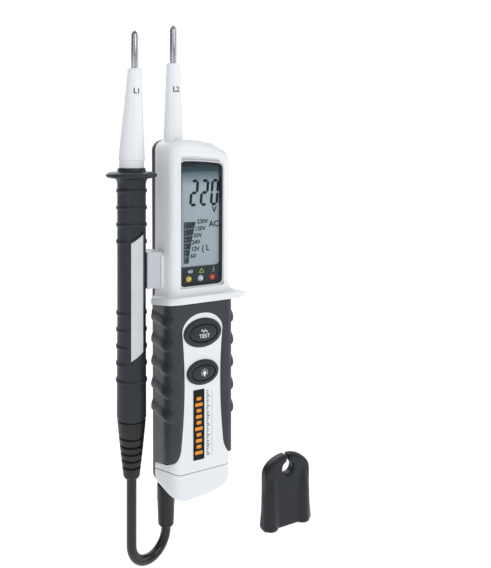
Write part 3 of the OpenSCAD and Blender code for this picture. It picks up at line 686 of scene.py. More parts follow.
def add_end_cap():
    """White battery cap: a cup with rolled front edges and a bowed foot."""
    def ring(inset, y):
        low = inset * 0.32
        radius = max(FOOT_RADIUS - inset * 0.5, 1.2)
        top = seam(y) - SEAM_GAP
        left, right = CASE_LEFT + inset, CASE_RIGHT - inset
        rows = [(left, top, 0), (left, top - 2, 0), (left + 0.6, foot(CASE_LEFT) + low, radius)]
        rows += [(x, foot(x) + low, 0) for x in spread(CASE_LEFT + 8, CASE_RIGHT - 8, 7)]
        rows += [(right - 0.6, foot(CASE_RIGHT) + low, radius), (right, top - 2, 0), (right, top, 0)]
        return upright(rounded(rows, 8), y)

    rows = [(0.0, SPLIT_Y), (0.0, 0.0)] + body_edge()
    points, faces = stack([ring(*row) for row in rows], closed=False, cap_first=False)
    skin = [p for inset, y in rows for p in ring(inset + WALL, min(SPLIT_Y, y + WALL))]
    cap = piece("battery_cap", thicken((points, faces), skin), WHITE, "battery_cap", ["end_cap"])
    notch_r = (BOOT_HIGH.x - BOOT_LOW.x) / 2 + 0.2
    plan = [(BOOT_X + notch_r, SPLIT_Y + 1)]
    plan += [(BOOT_X + notch_r * cos(a), BOOT_Y - notch_r * sin(a)) for a in turn(48)[:25]]
    plan.append((BOOT_X - notch_r, SPLIT_Y + 1))
    rings = [[(x, y, z) for x, y in plan] for z in (FOOT_Z - 8, SEAM_Z + 8)]
    notch = piece("boot_notch", stack(rings), WHITE, None)
    cut_away(cap, [notch])
    settle(cap, [notch])
    cap.data.set_sharp_from_angle(angle=radians(32))


def add_cap_screw():
    """Recessed coin-slot screw under the end cap; its slot is painted shade, a flat black patch."""
    x, y, _ = middle("cap_screw")
    z = foot(x) + 0.35
    rows = [(1.6, z + 3), (2.15, z + 2.9)] + arc_rows(1.75, z + 0.4, 0.4, 0, -90) + [(0.0, z)]
    piece("cap_screw_head", lathe(rows, x, y, 40), SCREW, "cap_fastener", ["cap_screw"])
    # Painted shade: the coin slot is not cut; a thin black plate stands in for the shade inside it.
    slot = plate(rounded(box_rows(-1.5, 1.5, -0.22, 0.22, 0.1), 3), 0, 0.4)
    slot = bent(slot, lambda px, py, pz: (x + px, y + pz, z - 0.03 + py))
    piece("cap_screw_slot_shade", slot, CORD, "cap_fastener", (), "screw_steel")


def screw_spots():
    """Middles of the case screws, from the separate solids of their CAD node."""
    work = bmesh.new()
    work.from_mesh(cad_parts["case_screws"].data)
    spots = []
    for vert in work.verts:
        x, z = vert.co.x / MM, vert.co.z / MM
        near = [s for s in spots if hypot(s[0] - x, s[1] - z) < 6]
        if near:
            near[0][2].append((x, z))
        else:
            spots.append((x, z, [(x, z)]))
    work.free()
    return [((min(p[0] for p in s[2]) + max(p[0] for p in s[2])) / 2,
             (min(p[1] for p in s[2]) + max(p[1] for p in s[2])) / 2) for s in spots]


def add_rear_shell():
    """Charcoal rear shell with screw holes, sound slots and a pocket for the rating plate."""
    def ring(inset, y):
        radius = max(FOOT_RADIUS - inset, 0.8)
        rows = [(CASE_LEFT + 0.6 + inset, foot(CASE_LEFT) + inset, radius)]
        rows += [(x, foot(x) + inset, 0) for x in spread(CASE_LEFT + 8, CASE_RIGHT - 8, 7)]
        rows += [(CASE_RIGHT - 0.6 - inset, foot(CASE_RIGHT) + inset, radius)]
        return upright(rounded(rows + crown_rows(inset), 8), y)

    rows = [(0.3, SPLIT_Y + 0.1), (0.0, SPLIT_Y + 0.45)]
    rows += [(REAR_EDGE * (1 - cos(a)), BACK_Y - REAR_EDGE * (1 - sin(a))) for a in quarter(8)]
    outer = [ring(*row) for row in rows]
    points, faces = stack(outer, cap_first=False, cap_last=False)
    skin = [p for inset, y in rows for p in ring(min(inset + WALL, 2.5), max(SPLIT_Y + 0.1, y - WALL))]
    last = list(range(len(points) - len(outer[0]), len(points)))
    low, high = corners("rear_label")
    loops = [ellipse(x, z, 2.2, 2.2, 28) for x, z in screw_spots()]
    loops += [rounded(box_rows(CASE_MID + SOUND_PITCH * i - SOUND_R, CASE_MID + SOUND_PITCH * i + SOUND_R,
                               SOUND_Z - 2.5, SOUND_Z + 2.5, SOUND_R - 0.01), 4) for i in range(-2, 3)]
    loops.append(rounded(box_rows(low.x - 0.1, high.x + 0.1, low.z - 0.1, high.z + 0.1, 1.5), 5))
    holes = []
    for loop in loops:
        rims = []
        for grow, y in ((0.25, BACK_Y), (0.0, BACK_Y - 0.25)):
            start = len(points)
            points += upright(grown(loop, grow), y)
            skin += upright(grown(loop, grow - 0.05), BACK_Y - WALL)
            rims.append(list(range(start, len(points))))
        holes.append(rims)
    flat = fill_between(points, last, [rims[0] for rims in holes])
    faces += flat
    used = {(a, b) for face in flat for a, b in zip(face, face[1:] + face[:1])}
    for first, second in holes:
        for j in range(len(first)):
            k = (j + 1) % len(first)
            if (first[j], first[k]) in used:
                faces.append((first[k], first[j], second[j], second[k]))
            else:
                faces.append((first[j], first[k], second[k], second[j]))
    piece("rear_case", thicken((points, faces), skin), CHARCOAL, "tester", ["rear_shell"])


def ray_point(outline, centre, angle):
    """Where a ray from the centre leaves a closed outline."""
    ray = Vector((cos(angle), sin(angle)))
    best = 0.0
    for a, b in zip(outline, outline[1:] + outline[:1]):
        edge = b - a
        cross = ray.x * edge.y - ray.y * edge.x
        if abs(cross) < 1e-9:
            continue
        to = a - centre
        along = (to.x * edge.y - to.y * edge.x) / cross
        share = (to.x * ray.y - to.y * ray.x) / cross
        if along > best and -1e-6 <= share <= 1 + 1e-6:
            best = along
    return centre + ray * best


def add_flange():
    """Finger guard flange: flared from the case in a hollow curve, rolled at its rim, with a thin wing."""
    centre = Vector((CASE_MID, -4.0))
    behind = SPLIT_Y + 3
    case = rounded([(CASE_LEFT, FRONT_Y, EDGE_WIDTH), (CASE_RIGHT, FRONT_Y, EDGE_WIDTH),
                    (CASE_RIGHT, behind, 0), (CASE_LEFT, behind, 0)])
    rim = rounded([(CASE_LEFT - 2, FLANGE_FRONT, 5.5), (CASE_RIGHT + 3, FLANGE_FRONT, 6),
                   (FLANGE_TIP, -7, 4.5), (FLANGE_TIP, 1, 4.5),
                   (CASE_RIGHT + 3, behind, 3), (CASE_LEFT - 2, behind, 0)], 9)
    angles = turn(220)
    inside = [ray_point(case, centre, a) for a in angles]
    outside = [ray_point(rim, centre, a) for a in angles]
    start_z = -99.3
    hollow = [(0.8 * (1 - cos(a)), start_z - 3.3 * sin(a)) for a in (radians(12) * k for k in range(8))]
    roll = [(0.86 + 0.14 * sin(a), -103.9 + 1.15 * cos(a)) for a in (radians(18) * k for k in range(6))]
    under = [(0.93 + 0.07 * cos(a), -105.2 - 0.7 * sin(a)) for a in (radians(18) * k for k in range(6))]
    profile = [(-0.3, start_z)] + hollow + roll + under + [(-0.3, FLANGE_FOOT)]

    def place(share, z, k):
        spot = inside[k].lerp(outside[k], share)
        wing = smooth((spot.x - CASE_RIGHT - 1) / (FLANGE_TIP - CASE_RIGHT)) * 0.5
        height = FLANGE_FOOT + (z - FLANGE_FOOT) * (1 - wing)
        return spot.x, min(spot.y, SPLIT_Y), height - FLANGE_SLOPE * (min(spot.y, SPLIT_Y) - FLANGE_FRONT)

    rings = [[place(share, z, k) for k in range(len(angles))] for share, z in profile]
    piece("finger_flange", stack(rings), WHITE, "tester", ["front_shell"], sharp=50)


# ---- The rubber grip ----

GRIP_SIDE = CASE_HALF + 1.4
GRIP_FRONT = PAD_Y - 0.45
ROLL_W, ROLL_D = 4.6, 8.6
FLAT_LEN = GRIP_SIDE - ROLL_W
ROLL_LEN = 10.7
GRIP_END = FLAT_LEN + ROLL_LEN + SPLIT_Y - GRIP_FRONT - ROLL_D


def section_point(u, lift):
    """Point and outward direction on the right side of the grip's cross-section.

    u is the length along it from its middle. Lift 0 is the white body's face and 1 the rubber's."""
    side = CASE_HALF - 0.05 + 1.45 * lift
    front = PAD_Y + 0.05 - 0.5 * lift
    if u < FLAT_LEN:
        return Vector((u * (side - ROLL_W) / FLAT_LEN, front)), Vector((0, -1))
    if u < FLAT_LEN + ROLL_LEN:
        angle = radians(90) * (u - FLAT_LEN) / ROLL_LEN
        spot = Vector((side - ROLL_W + ROLL_W * sin(angle), front + ROLL_D * (1 - cos(angle))))
        return spot, Vector((sin(angle) / ROLL_W, -cos(angle) / ROLL_D)).normalized()
    share = (u - FLAT_LEN - ROLL_LEN) / (GRIP_END - FLAT_LEN - ROLL_LEN)
    return Vector((side, front + ROLL_D + share * (SPLIT_Y - front - ROLL_D))), Vector((1, 0))


def along_section(x):
    """Section length at a distance x from the case's middle plane, on the rubber's face."""
    if x < FLAT_LEN:
        return x
    return FLAT_LEN + ROLL_LEN * (pi / 2 - acos(clamp((x - FLAT_LEN) / ROLL_W))) / (pi / 2)


FOOT_CORNER = along_section(GRIP_SIDE - 0.35)


def rib(z):
    """Height of the finger ribs: five half-round bars, fuller at their lower edge."""
    nearest = RIB_Z - RIB_PITCH * clamp(round((RIB_Z - z) / RIB_PITCH), 0, 4)
    place = (z - nearest) / 2.5
    if abs(place) >= 1:
        return 0.0
    return 0.95 * (1 - place * place) ** 0.6 * (1 - 0.25 * place)


def grip_edges(side):
    """Border of half the rubber against the white panel, as (u, z) from the arch's top to its foot."""
    offset = side * (PANEL_X - CASE_MID)
    edge = []
    for k in range(31):
        angle = radians(90 - 3 * k)
        x = PANEL_ARCH[0] * cos(angle) + offset
        edge.append((along_section(max(0.0, x)), PANEL_ARCH_Z + PANEL_ARCH[1] * sin(angle)))
    for z in spread(PANEL_ARCH_Z - 0.8, PANEL_FLARE_Z, 62):
        edge.append((along_section(panel_half(z) + offset), z))
    start = edge[-1][0]
    for k in range(1, 19):
        angle = radians(5 * k)
        edge.append((start + (FOOT_CORNER - start) * (1 - cos(angle)),
                     PANEL_FLARE_Z + (GRIP_FRONT_FOOT - PANEL_FLARE_Z) * sin(angle)))
    return edge


def near_border(u, z, border):
    """Distance from (u, z) to a border line."""
    best = 9.0
    for (ua, za), (ub, zb) in zip(border, border[1:]):
        if min(za, zb) - 1.2 > z or max(za, zb) + 1.2 < z:
            continue
        length = (ub - ua) ** 2 + (zb - za) ** 2
        share = clamp(((u - ua) * (ub - ua) + (z - za) * (zb - za)) / max(length, 1e-9))
        best = min(best, hypot(u - ua - share * (ub - ua), z - za - share * (zb - za)))
    return best


def grip_half(side):
    """One half of the rubber as a grid of (point, inner point) rows, from under the flange to its foot."""
    edge = grip_edges(side)
    border = edge + [(GRIP_END, GRIP_LOW.z), (GRIP_END, FLANGE_FOOT - 8)]
    shares = [0, 0.12, 0.28, 0.48, 0.72, 1.0, 1.35]
    rows = [(0.0, z, None) for z in spread(FLANGE_FOOT + 1.0, edge[0][1] + 1.0, 14)]
    rows += [(0.0, edge[0][1] + gap, None) for gap in (0.7, 0.45, 0.25, 0.1)]
    rows += [(u, z, None) for u, z in edge[:-18]]
    rows += [(u, None, k / 18) for k, (u, z) in enumerate(edge[-18:], 1)]
    grid = []
    for start, z, share in rows:
        length = GRIP_END - start
        near = [start + s * min(1.0, length / 12) for s in shares]
        us = near + spread(near[-1], GRIP_END - 1.0, 44)[1:]
        us += [GRIP_END - d for d in (0.7, 0.45, 0.25, 0.1, 0)]
        line = []
        for u in us:
            if share is None:
                height = z
            else:
                part = clamp((u - start) / length)
                foot_z = GRIP_FRONT_FOOT + (GRIP_LOW.z - GRIP_FRONT_FOOT) * part
                height = PANEL_FLARE_Z + (foot_z - PANEL_FLARE_Z) * sin(radians(90) * share)
            reach = clamp(near_border(u, height, border) / 0.75)
            lift = sqrt(1 - (1 - reach) ** 2)
            spot, out = section_point(u, lift)
            swell = rib(height) * smooth((u - FLAT_LEN - 2.6) / 1.6) * lift
            spot = spot + out * swell
            inner, _ = section_point(u, -0.4)
            line.append(((CASE_MID + side * spot.x, spot.y, height),
                         (CASE_MID + side * inner.x, inner.y, height)))
        grid.append(line)
    return grid


def add_grip():
    """Soft rubber overmould with finger ribs, open at the front round the white panel."""
    def tilt(p):
        top = FLANGE_FOOT - FLANGE_SLOPE * (p[1] - FLANGE_FRONT) + 1.0
        return p[0], p[1], min(p[2], top)

    parts, skins = [], []
    for side in (-1, 1):
        grid = grip_half(side)
        if side < 0:
            grid = [line[::-1] for line in grid]
        points, faces = stack([[tilt(p) for p, _ in line] for line in grid], False, False, False)
        parts.append((points, faces))
        skins.append([tilt(q) for line in grid for _, q in line])
    sheet, skin = welded(merged(*parts), skins[0] + skins[1])
    piece("grip_rubber", thicken(sheet, skin), GRIP, "tester", ["grip_overmould"], sharp=60)


# ---- Display ----

def seven_segments(digit, x, z, width, height, stroke):
    """A slanted seven-segment digit as outlines, from its lower left corner."""
    lit = {"0": "abcdef", "2": "abged"}[digit]
    mid = height / 2
    ends = {"a": ((0, height), (width, height)), "g": ((0, mid), (width, mid)), "d": ((0, 0), (width, 0)),
            "f": ((0, mid), (0, height)), "b": ((width, mid), (width, height)),
            "e": ((0, 0), (0, mid)), "c": ((width, 0), (width, mid))}
    outlines = []
    for name in lit:
        (ax, az), (bx, bz) = ends[name]
        a, b = Vector((ax, az)), Vector((bx, bz))
        along = (b - a).normalized()
        across = Vector((-along.y, along.x)) * stroke / 2
        a, b = a + along * 0.12, b - along * 0.12
        cut = along * stroke / 2
        outline = [a, a + cut + across, b - cut + across, b, b - cut - across, a + cut - across]
        outlines.append([Vector((x + p.x + 0.08 * p.y, z + p.y)) for p in outline])
    return outlines


def flat_shapes(outlines, y, thickness=0.03):
    """Thin printed shapes on a plane at depth y."""
    return merged(*[plate(outline, y - thickness, y) for outline in outlines])


def add_display():
    """What the display shows: three digits, units, and a graded bar with its values."""
    stroke, width, height, pitch = 1.3, 4.2, 12, 5.25
    left, base = 3.3 + stroke / 2, -64.4 + stroke / 2
    digits = []
    for i, digit in enumerate("220"):
        digits += seven_segments(digit, left + pitch * i, base, width - stroke, height - stroke, stroke)
    y = LCD_Y - 0.01
    piece("lcd_digits", flat_shapes(digits, y), SEGMENT, "tester", (), "lcd_glass")

    bar_low, bar_high = -89.8, -71.2

    def bar_right(z):
        return 3.0 + 3.6 * clamp((z - bar_low) / (bar_high - bar_low)) ** 1.3

    steps = spread(bar_low, bar_high, 7)
    cells = []
    for low, high in zip(steps, steps[1:]):
        cells.append([Vector((0.6, low + 0.08)), Vector((bar_right(low), low + 0.08)),
                      Vector((bar_right(high), high - 0.08)), Vector((0.6, high - 0.08))])
    piece("lcd_bar", flat_shapes(cells, y), SEGMENT_SOFT, "tester", (), "lcd_glass")
    marks = []
    for z in spread(-89.0, -72.0, 13):
        marks.append(rounded(box_rows(1.05, 1.75, z - 0.3, z + 0.3, 0.1), 2))
    piece("lcd_bar_marks", flat_shapes(marks, y - 0.03), SEGMENT_LIGHT, "tester", (), "lcd_glass")
    words = [("V", 16.1, -66.3, 2.9), ("AC", 15.9, -72.8, 2.7), ("( L", 11.6, -83.4, 2.6)]
    words += [(text, x, z, 1.9) for text, x, z in (
        ("230V", 10.1, -71.4), ("120V", 8.9, -74.5), ("50V", 7.6, -77.5),
        ("24V", 6.8, -80.5), ("12V", 6.4, -83.5), ("6V", 5.4, -86.6))]
    parts = [moved(lettering(text, size, bold=0.06 * size ** 0.5), x, y - 0.01, z)
             for text, x, z, size in words]
    piece("lcd_labels", merged(*parts), SEGMENT, "tester", (), "lcd_glass")


def ring_shape(x, z, outer, inner, y, thickness):
    """A flat washer facing -Y."""
    rings = []
    for radius, depth in ((inner, y), (inner, y - thickness), (outer, y - thickness), (outer, y)):
        rings.append(upright(ellipse(x, z, radius, radius, 40), depth))
    rings.append(rings[0])
    return stack(rings, cap_first=False, cap_last=False)


def stroke_line(points, width):
    """Outline of a line of even width through points."""
    left, right = [], []
    for i, point in enumerate(points):
        ahead = points[min(i + 1, len(points) - 1)]
        behind = points[max(i - 1, 0)]
        along = (ahead - behind).normalized()
        across = Vector((-along.y, along.x)) * width / 2
        left.append(point + across)
        right.append(point - across)
    return left + right[::-1]


def add_indicator_prints():
    """Small pictograms above the three lamps, and a ring round each lamp."""
    y = corners("display_mask")[0].y
    lamps = [middle(name)[0] for name in ("led_yellow", "led_white", "led_red")]
    lamp_z = middle("led_white")[2]
    z = lamp_z + 3.4
    x = lamps[0] + 0.5
    horn = [(-1.0, -0.35), (-0.5, -0.35), (0.15, -0.9), (0.15, 0.9), (-0.5, 0.35), (-1.0, 0.35)]
    speaker = [placed(horn, x, z)]
    for radius in (0.75, 1.2):
        arc = [(radius * cos(radians(a)), radius * sin(radians(a))) for a in range(-45, 46, 15)]
        speaker.append(stroke_line(placed(arc, x, z), 0.22))
    zigzag = [(0.4, 1.1), (-0.45, -0.05), (0.4, 0.1), (-0.35, -1.1)]
    zigzag = stroke_line(placed(zigzag, lamps[2] + 0.4, z), 0.34)
    piece("print_white", flat_shapes(speaker + [zigzag], y), INK_WHITE, "tester", (), "mask_print")
    triangle = placed([(-1.15, -0.85), (1.15, -0.85), (0.0, 1.1)], lamps[1] + 0.3, z)
    sides = [stroke_line([a, b], 0.3) for a, b in zip(triangle, triangle[1:] + triangle[:1])]
    piece("print_lime", flat_shapes(sides, y), INK_LIME, "tester", (), "mask_print")
    rings = [ring_shape(lamp_x, lamp_z, 2.15, 1.68, y, 0.12) for lamp_x in lamps]
    piece("lamp_rings", merged(*rings), DARK_PLASTIC, "tester", (), "mask_print")


def add_window():
    """Clear window with an eased edge, and the dark lining of the opening behind its border."""
    rim = [upright(window_outline(grow), y) for grow, y in (
        (0.02, LENS_LOW.y + 0.2), (0.02, LCD_Y - 0.4), (-0.55, LCD_Y - 0.4), (-0.4, LENS_LOW.y + 0.35))]
    lining = stack(rim + [rim[0]], cap_first=False, cap_last=False)
    piece("window_lining", lining, MASK, "tester")
    window = plate(window_outline(-0.02), LENS_LOW.y, LENS_LOW.y + 0.18, 0.12)
    piece("window", window, WINDOW, "tester", ["window_lens"])


def add_torch():
    """Clear torch window with a thin bezel on the crown."""
    low, high = corners("torch_lens")
    x, y, _ = middle("torch_lens")
    bezel = [(3.1, low.z), (3.1, high.z - 0.2)] + arc_rows(2.95, high.z - 0.2, 0.15, 0, 90)
    bezel += [(2.55, high.z - 0.1), (2.5, low.z)]
    lens = [(2.5, low.z), (2.5, high.z - 0.3)] + arc_rows(2.2, high.z - 0.3, 0.3, 0, 90)
    lens.append((0.0, high.z + 0.1))
    piece("torch_bezel", lathe(bezel, x, y, 48), WHITE, "tester")
    piece("torch_window", lathe(lens, x, y, 48), TORCH_GLASS, "tester", ["torch_lens"], "window_glass")


# ---- Buttons ----

INK = 0.015


def add_button(node, ring_node, body, name):
    """An oval key in a convex rubber ring, with a groove between them."""
    low, high = corners(node)
    ring_low, ring_high = corners(ring_node)
    x, z = (low.x + high.x) / 2, (low.z + high.z) / 2
    a, b = (high.x - low.x) / 2, (high.z - low.z) / 2
    width = (ring_high.x - ring_low.x) / 2 - a
    crest = 1.25
    rows = [(width, PAD_Y + 0.3), (width, PAD_Y - 0.05)]
    for share in spread(0, 1, 11):
        rise = crest * sqrt(max(0.0, 1 - (1 - share * 1.25) ** 2)) if share < 0.8 else crest
        rows.append((width * (1 - 0.92 * share), PAD_Y - 0.05 - rise))
    rows += [(0.12, PAD_Y - 1.1), (0.1, PAD_Y + 2.0)]
    rings = [upright(ellipse(x, z, a + grow, b + grow), y) for grow, y in rows]
    piece(name + "_ring", stack(rings), KEY, "tester", [ring_node])

    def dome(px, pz):
        reach = ((px - x) / a) ** 2 + ((pz - z) / b) ** 2
        return low.y + 0.35 + 0.9 * max(0.0, reach) ** 1.6

    cap_rings = [upright(ellipse(x, z, a - 0.02, b - 0.02), low.y + depth) for depth in (4.5, 1.6)]
    for inset in (0.08, 0.25, 0.5, 0.85, 1.3, 1.9, 2.6, 3.3):
        if inset < b - 0.2:
            outline = ellipse(x, z, a - inset, b - inset)
            edge = 0.9 * (1 - min(1.0, inset / 0.85)) ** 2 * 0.6
            cap_rings.append([(p.x, dome(p.x, p.y) + edge, p.y) for p in outline])
    last = cap_rings[-1]
    middle = [(x + (px - x) * 0.02, dome(x, z), z + (pz - z) * 0.02) for px, _, pz in last]
    half = [(x + (px - x) * 0.5, dome(x + (px - x) * 0.5, z + (pz - z) * 0.5), z + (pz - z) * 0.5)
            for px, _, pz in last]
    cap_rings += [half, middle]
    piece(name + "_key", stack(cap_rings), KEY, body, [node])
    return x, z, dome


def on_dome(part, x, z, dome):
    """Lays a flat part onto a key's domed face."""
    return bent(part, lambda px, py, pz: (x + px, dome(x + px, z + pz) + py - 0.02, z + pz))


def add_buttons():
    """Both keys with their prints: a wave over a word, and a lamp with rays."""
    x, z, dome = add_button("test_button", "button_ring_test", "test_key", "test")
    wave = [Vector((1.9 * k / 12 - 1.9, 0.75 * sin(2 * pi * k / 12))) for k in range(25)]
    mark = plate([p * 0.8 for p in stroke_line(wave, 0.36)], -INK, INK)
    word = lettering("TEST", 1.75, bold=0.03)
    print_part = merged(on_dome(moved(mark, z=1.2), x, z, dome), on_dome(moved(word, z=-1.05), x, z, dome))
    piece("test_print", print_part, INK_WHITE, "test_key", (), "button_rubber")

    x, z, dome = add_button("light_button", "button_ring_light", "light_key", "light")
    bulb = plate(ellipse(0, 0.25, 0.78, 0.78, 24), -INK, INK)
    base = plate(rounded(box_rows(-0.36, 0.36, -1.35, -0.3, 0.12), 2), -INK - 0.001, INK)
    rays = []
    for angle in range(-30, 211, 30):
        near, centre = Vector((cos(radians(angle)), sin(radians(angle)))), Vector((0, 0.25))
        ray = stroke_line([near * 1.15 + centre, near * 1.75 + centre], 0.2)
        rays.append(plate(ray, -INK, INK))
    light_print = on_dome(merged(bulb, base, *rays), x, z, dome)
    piece("light_print", light_print, INK_WHITE, "light_key", (), "button_rubber")


# ---- Probes and second handle ----

LIP_R, LIP_EDGE = 3.05, 0.35
L1_LENGTH, L2_LENGTH = 39.6, 34.6


def pin_rows(low, top, radius=1.5):
    """Bare pin with a rounded point and a small shoulder."""
    tip = [(0.0, top), (0.22, top - 0.03), (0.4, top - 0.13), (0.55, top - 0.32)]
    return tip + [(radius - 0.12, top - 1.5), (radius, top - 1.85), (radius, low + 0.25),
                  (radius - 0.08, low + 0.05), (radius - 0.12, low - 0.3)]


def add_pins():
    """Bare steel pins of both probes."""
    _, high = corners("probe_pin_l2")
    piece("pin_l2", lathe(pin_rows(L2_TOP, high.z)), PIN, "tester", ["probe_pin_l2"])
    _, high = corners("probe_pin_l1")
    piece("pin_l1", lathe(pin_rows(L1_TOP, high.z), L1_X), PIN, "l1_probe", ["probe_pin_l1"])


def l2_radius(z):
    """Radius of the fixed sleeve's cone at a height."""
    return LIP_R + 1.25 * clamp((L2_TOP - LIP_EDGE - z) / L2_LENGTH)


def l1_radius(z):
    """Radius of the slanted sleeve's cone at a height."""
    return LIP_R + 2.75 * clamp((L1_TOP - LIP_EDGE - z) / L1_LENGTH) ** 1.06


def cone_rows(top, length, radius_at, steps):
    """Mouth, rounded lip and cone of a sleeve, as (radius, z) rows."""
    rows = [(1.35, top - 0.6), (1.62, top - 0.05), (1.7, top), (LIP_R - LIP_EDGE, top)]
    rows += arc_rows(LIP_R - LIP_EDGE, top - LIP_EDGE, LIP_EDGE, 90, 0)
    cone = spread(top - LIP_EDGE, top - LIP_EDGE - length, steps + 1)[1:]
    return rows + [(radius_at(z), z) for z in cone]


def add_fixed_sleeve():
    """Conical white sleeve of the fixed probe."""
    rows = cone_rows(L2_TOP, L2_LENGTH, l2_radius, 12) + [(4.3, -44)]
    piece("sleeve_l2", lathe(rows), SLEEVE, "tester", ["probe_sleeve_l2"])


def l1_axis(z):
    """Middle of the slanted sleeve at a height."""
    return L1_X + (HANDLE_X - L1_X) * clamp((L1_TOP - z) / 41)


def add_loose_sleeve():
    """Slanted conical sleeve of the second probe, with a lip and a collar above the handle."""
    low, _ = corners("probe_sleeve_l1")
    rows = cone_rows(L1_TOP, L1_LENGTH, l1_radius, 16)
    end = rows[-1][1]
    rows += [(5.86, end - 0.25), (5.8, end - 0.6), (5.55, end - 0.8), (5.5, end - 1.1), (5.52, low.z + 0.5),
             (5.4, low.z)]
    sleeve = slanted([(r, z, l1_axis(z)) for r, z in rows])
    piece("sleeve_l1", sleeve, SLEEVE, "l1_probe", ["probe_sleeve_l1"])


HANDLE_R = 6.35
RIB_RINGS = [-57, -64.5, -72, -79.5, -110.7, -118.1, -125.5, -133, -140.4]


def handle_radius(z):
    """Radius of the handle's grip with its rings of small ribs."""
    swell = 0.0
    for ring_z in RIB_RINGS:
        place = (z - ring_z) / 0.95
        if abs(place) < 1:
            swell = 0.5 * sqrt(1 - place * place)
    return HANDLE_R + 0.15 * smooth((-100 - z) / 58) + swell


def add_handle():
    """Turned dark handle with a flange, ribs and a raised pad for its label."""
    low, high = HANDLE_LOW, HANDLE_HIGH
    rim = (high.x - low.x) / 2
    rows = [(5.0, high.z), (5.75, high.z)] + arc_rows(5.75, high.z - 0.35, 0.35, 60, 0, 3) + [(6.2, -48.0)]
    rows += [(6.6, -48.55), (7.4, -48.75), (rim - 1.4, -48.95)]
    rows += arc_rows(rim - 0.95, -50.25, 0.95, 80, -80, 9)
    rows += [(8.6, -51.5), (7.4, -51.75), (6.8, -52.3), (HANDLE_R + 0.1, -53.4)]
    z = -54.2
    while z > low.z + 1.2:
        rows.append((handle_radius(z), z))
        z -= 0.19 if any(abs(z - r) < 1.3 for r in RIB_RINGS) else 0.8
    rows += [(6.5, low.z + 0.9), (6.35, low.z + 0.35), (6.0, low.z + 0.1), (5.0, low.z)]
    piece("handle_l1_grip", lathe(rows, HANDLE_X, 0, 96), HANDLE, "l1_probe", ["handle_l1"])
    pad = label_patch(HANDLE_R - 0.1, HANDLE_R + 0.62, 0.75, 0.35)
    piece("handle_label_pad", pad, HANDLE, "l1_probe")
    film = label_patch(HANDLE_R + 0.55, HANDLE_R + 0.77, 0.0, 0.06)
    piece("handle_label", film, LABEL_GREY, "l1_probe", ["label_l1"])


def label_patch(inner, outer, grow, edge):
    """Slanted strip that follows the handle's front between two radii, with an eased edge."""
    low, high = corners("label_l1")
    half = (high.x - low.x) / 2
    slope = 3.5 / (2 * half)

    def wrap(u, v, radius, inset):
        x = u * (half + grow - inset)
        bottom = low.z + 1.75 - grow + inset
        top = high.z - 1.75 + grow - inset
        z = bottom + (top - bottom) * v + slope * x
        return HANDLE_X + x, -sqrt(radius * radius - x * x), z

    us, vs = spread(-1, 1, 17), spread(0, 1, 60)
    border = [(u, 0) for u in us] + [(1, v) for v in vs[1:]] + [(u, 1) for u in us[-2::-1]]
    border += [(-1, v) for v in vs[-2:0:-1]]
    rings = [[wrap(u, v, inner, 0) for u, v in border]]
    for a in quarter(3):
        radius, inset = outer - edge * (1 - sin(a)), edge * (1 - cos(a))
        rings.append([wrap(u, v, radius, inset) for u, v in border])
    sides = stack(rings, cap_first=False, cap_last=False)
    face = stack([[wrap(u, v, outer, edge) for u in us] for v in vs], False, False, False)
    back = stack([[wrap(u, v, inner, 0) for u in us] for v in vs], False, False, False)
    return merged(sides, face, back)


def add_reliefs():
    """The handle's grooved strain relief and the smooth boot under the case."""
    low, top = RELIEF_LOW, HANDLE_LOW.z - 0.1
    grooves = [-165.2, -168.8, -172.0, -175.2, -178.4]
    rows = [(5.4, top), (6.1, top - 0.15)]
    z = top - 0.5
    while z > low.z + 1.0:
        share = (top - z) / (top - low.z)
        depth = sum(0.75 * smooth(1 - abs(z - g) / 0.62) for g in grooves)
        rows.append((6.3 - 2.75 * share ** 1.15 - depth, z))
        z -= 0.16
    rows += [(3.45, low.z + 0.7), (3.2, low.z + 0.25), (2.8, low.z), (2.15, low.z)]
    piece("relief_l1", lathe(rows, HANDLE_X, 0, 72), BOOT, "l1_probe", ["strain_relief_l1"])
    low, high = BOOT_LOW, BOOT_HIGH
    rows = [(3.2, high.z), (3.2, FOOT_Z + 0.6), (3.9, FOOT_Z + 0.3), (4.1, FOOT_Z), (4.1, FOOT_Z - 7.6),
            (3.95, FOOT_Z - 8.1)]
    rows += [(3.95 - 0.3 * k / 8, FOOT_Z - 8.1 - (FOOT_Z - 8.1 - low.z - 1.4) * k / 8) for k in range(1, 9)]
    rows += arc_rows(2.45, low.z + 1.2, 1.2, 0, -90, 6)
    piece("boot_l2", lathe(rows, BOOT_X, BOOT_Y, 64), BOOT, "tester", ["lead_boot_l2"])


def add_lead():
    """One length of lead from the case's boot round to the handle, dipping in a U-shaped loop between them.
    """
    radius, overlap = 2.2, 6
    start, end = Vector((BOOT_X, BOOT_Y, 0)), Vector((HANDLE_X, 0, 0))
    middle, reach = (start + end) / 2, (end - start).length / 2
    bend_z = BASE_Z + reach + radius
    along = (end - start).normalized()
    path = [start + Vector((0, 0, z)) for z in spread(BOOT_LOW.z + overlap, bend_z, 14)]
    path += [middle + Vector((0, 0, bend_z)) - along * reach * cos(a) - Vector((0, 0, reach * sin(a)))
             for a in turn(80)[1:40]]
    path += [end + Vector((0, 0, z)) for z in spread(bend_z, RELIEF_LOW.z + overlap, 24)]
    part = tube(path, radius, along.cross(Vector((0, 0, 1))))
    lead = piece("lead", part, LEAD, None, ["lead_l1", "lead_l2"])
    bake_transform(lead)


def wrapped(text, height, radius_at, x_at, z):
    """A mark laid on a cone's front."""
    def rule(px, py, pz):
        radius = radius_at(z + pz) - py
        angle = px / radius
        return x_at(z + pz) + radius * sin(angle), -radius * cos(angle), z + pz
    return bent(lettering(text, height, 0.2, 0.06), rule)


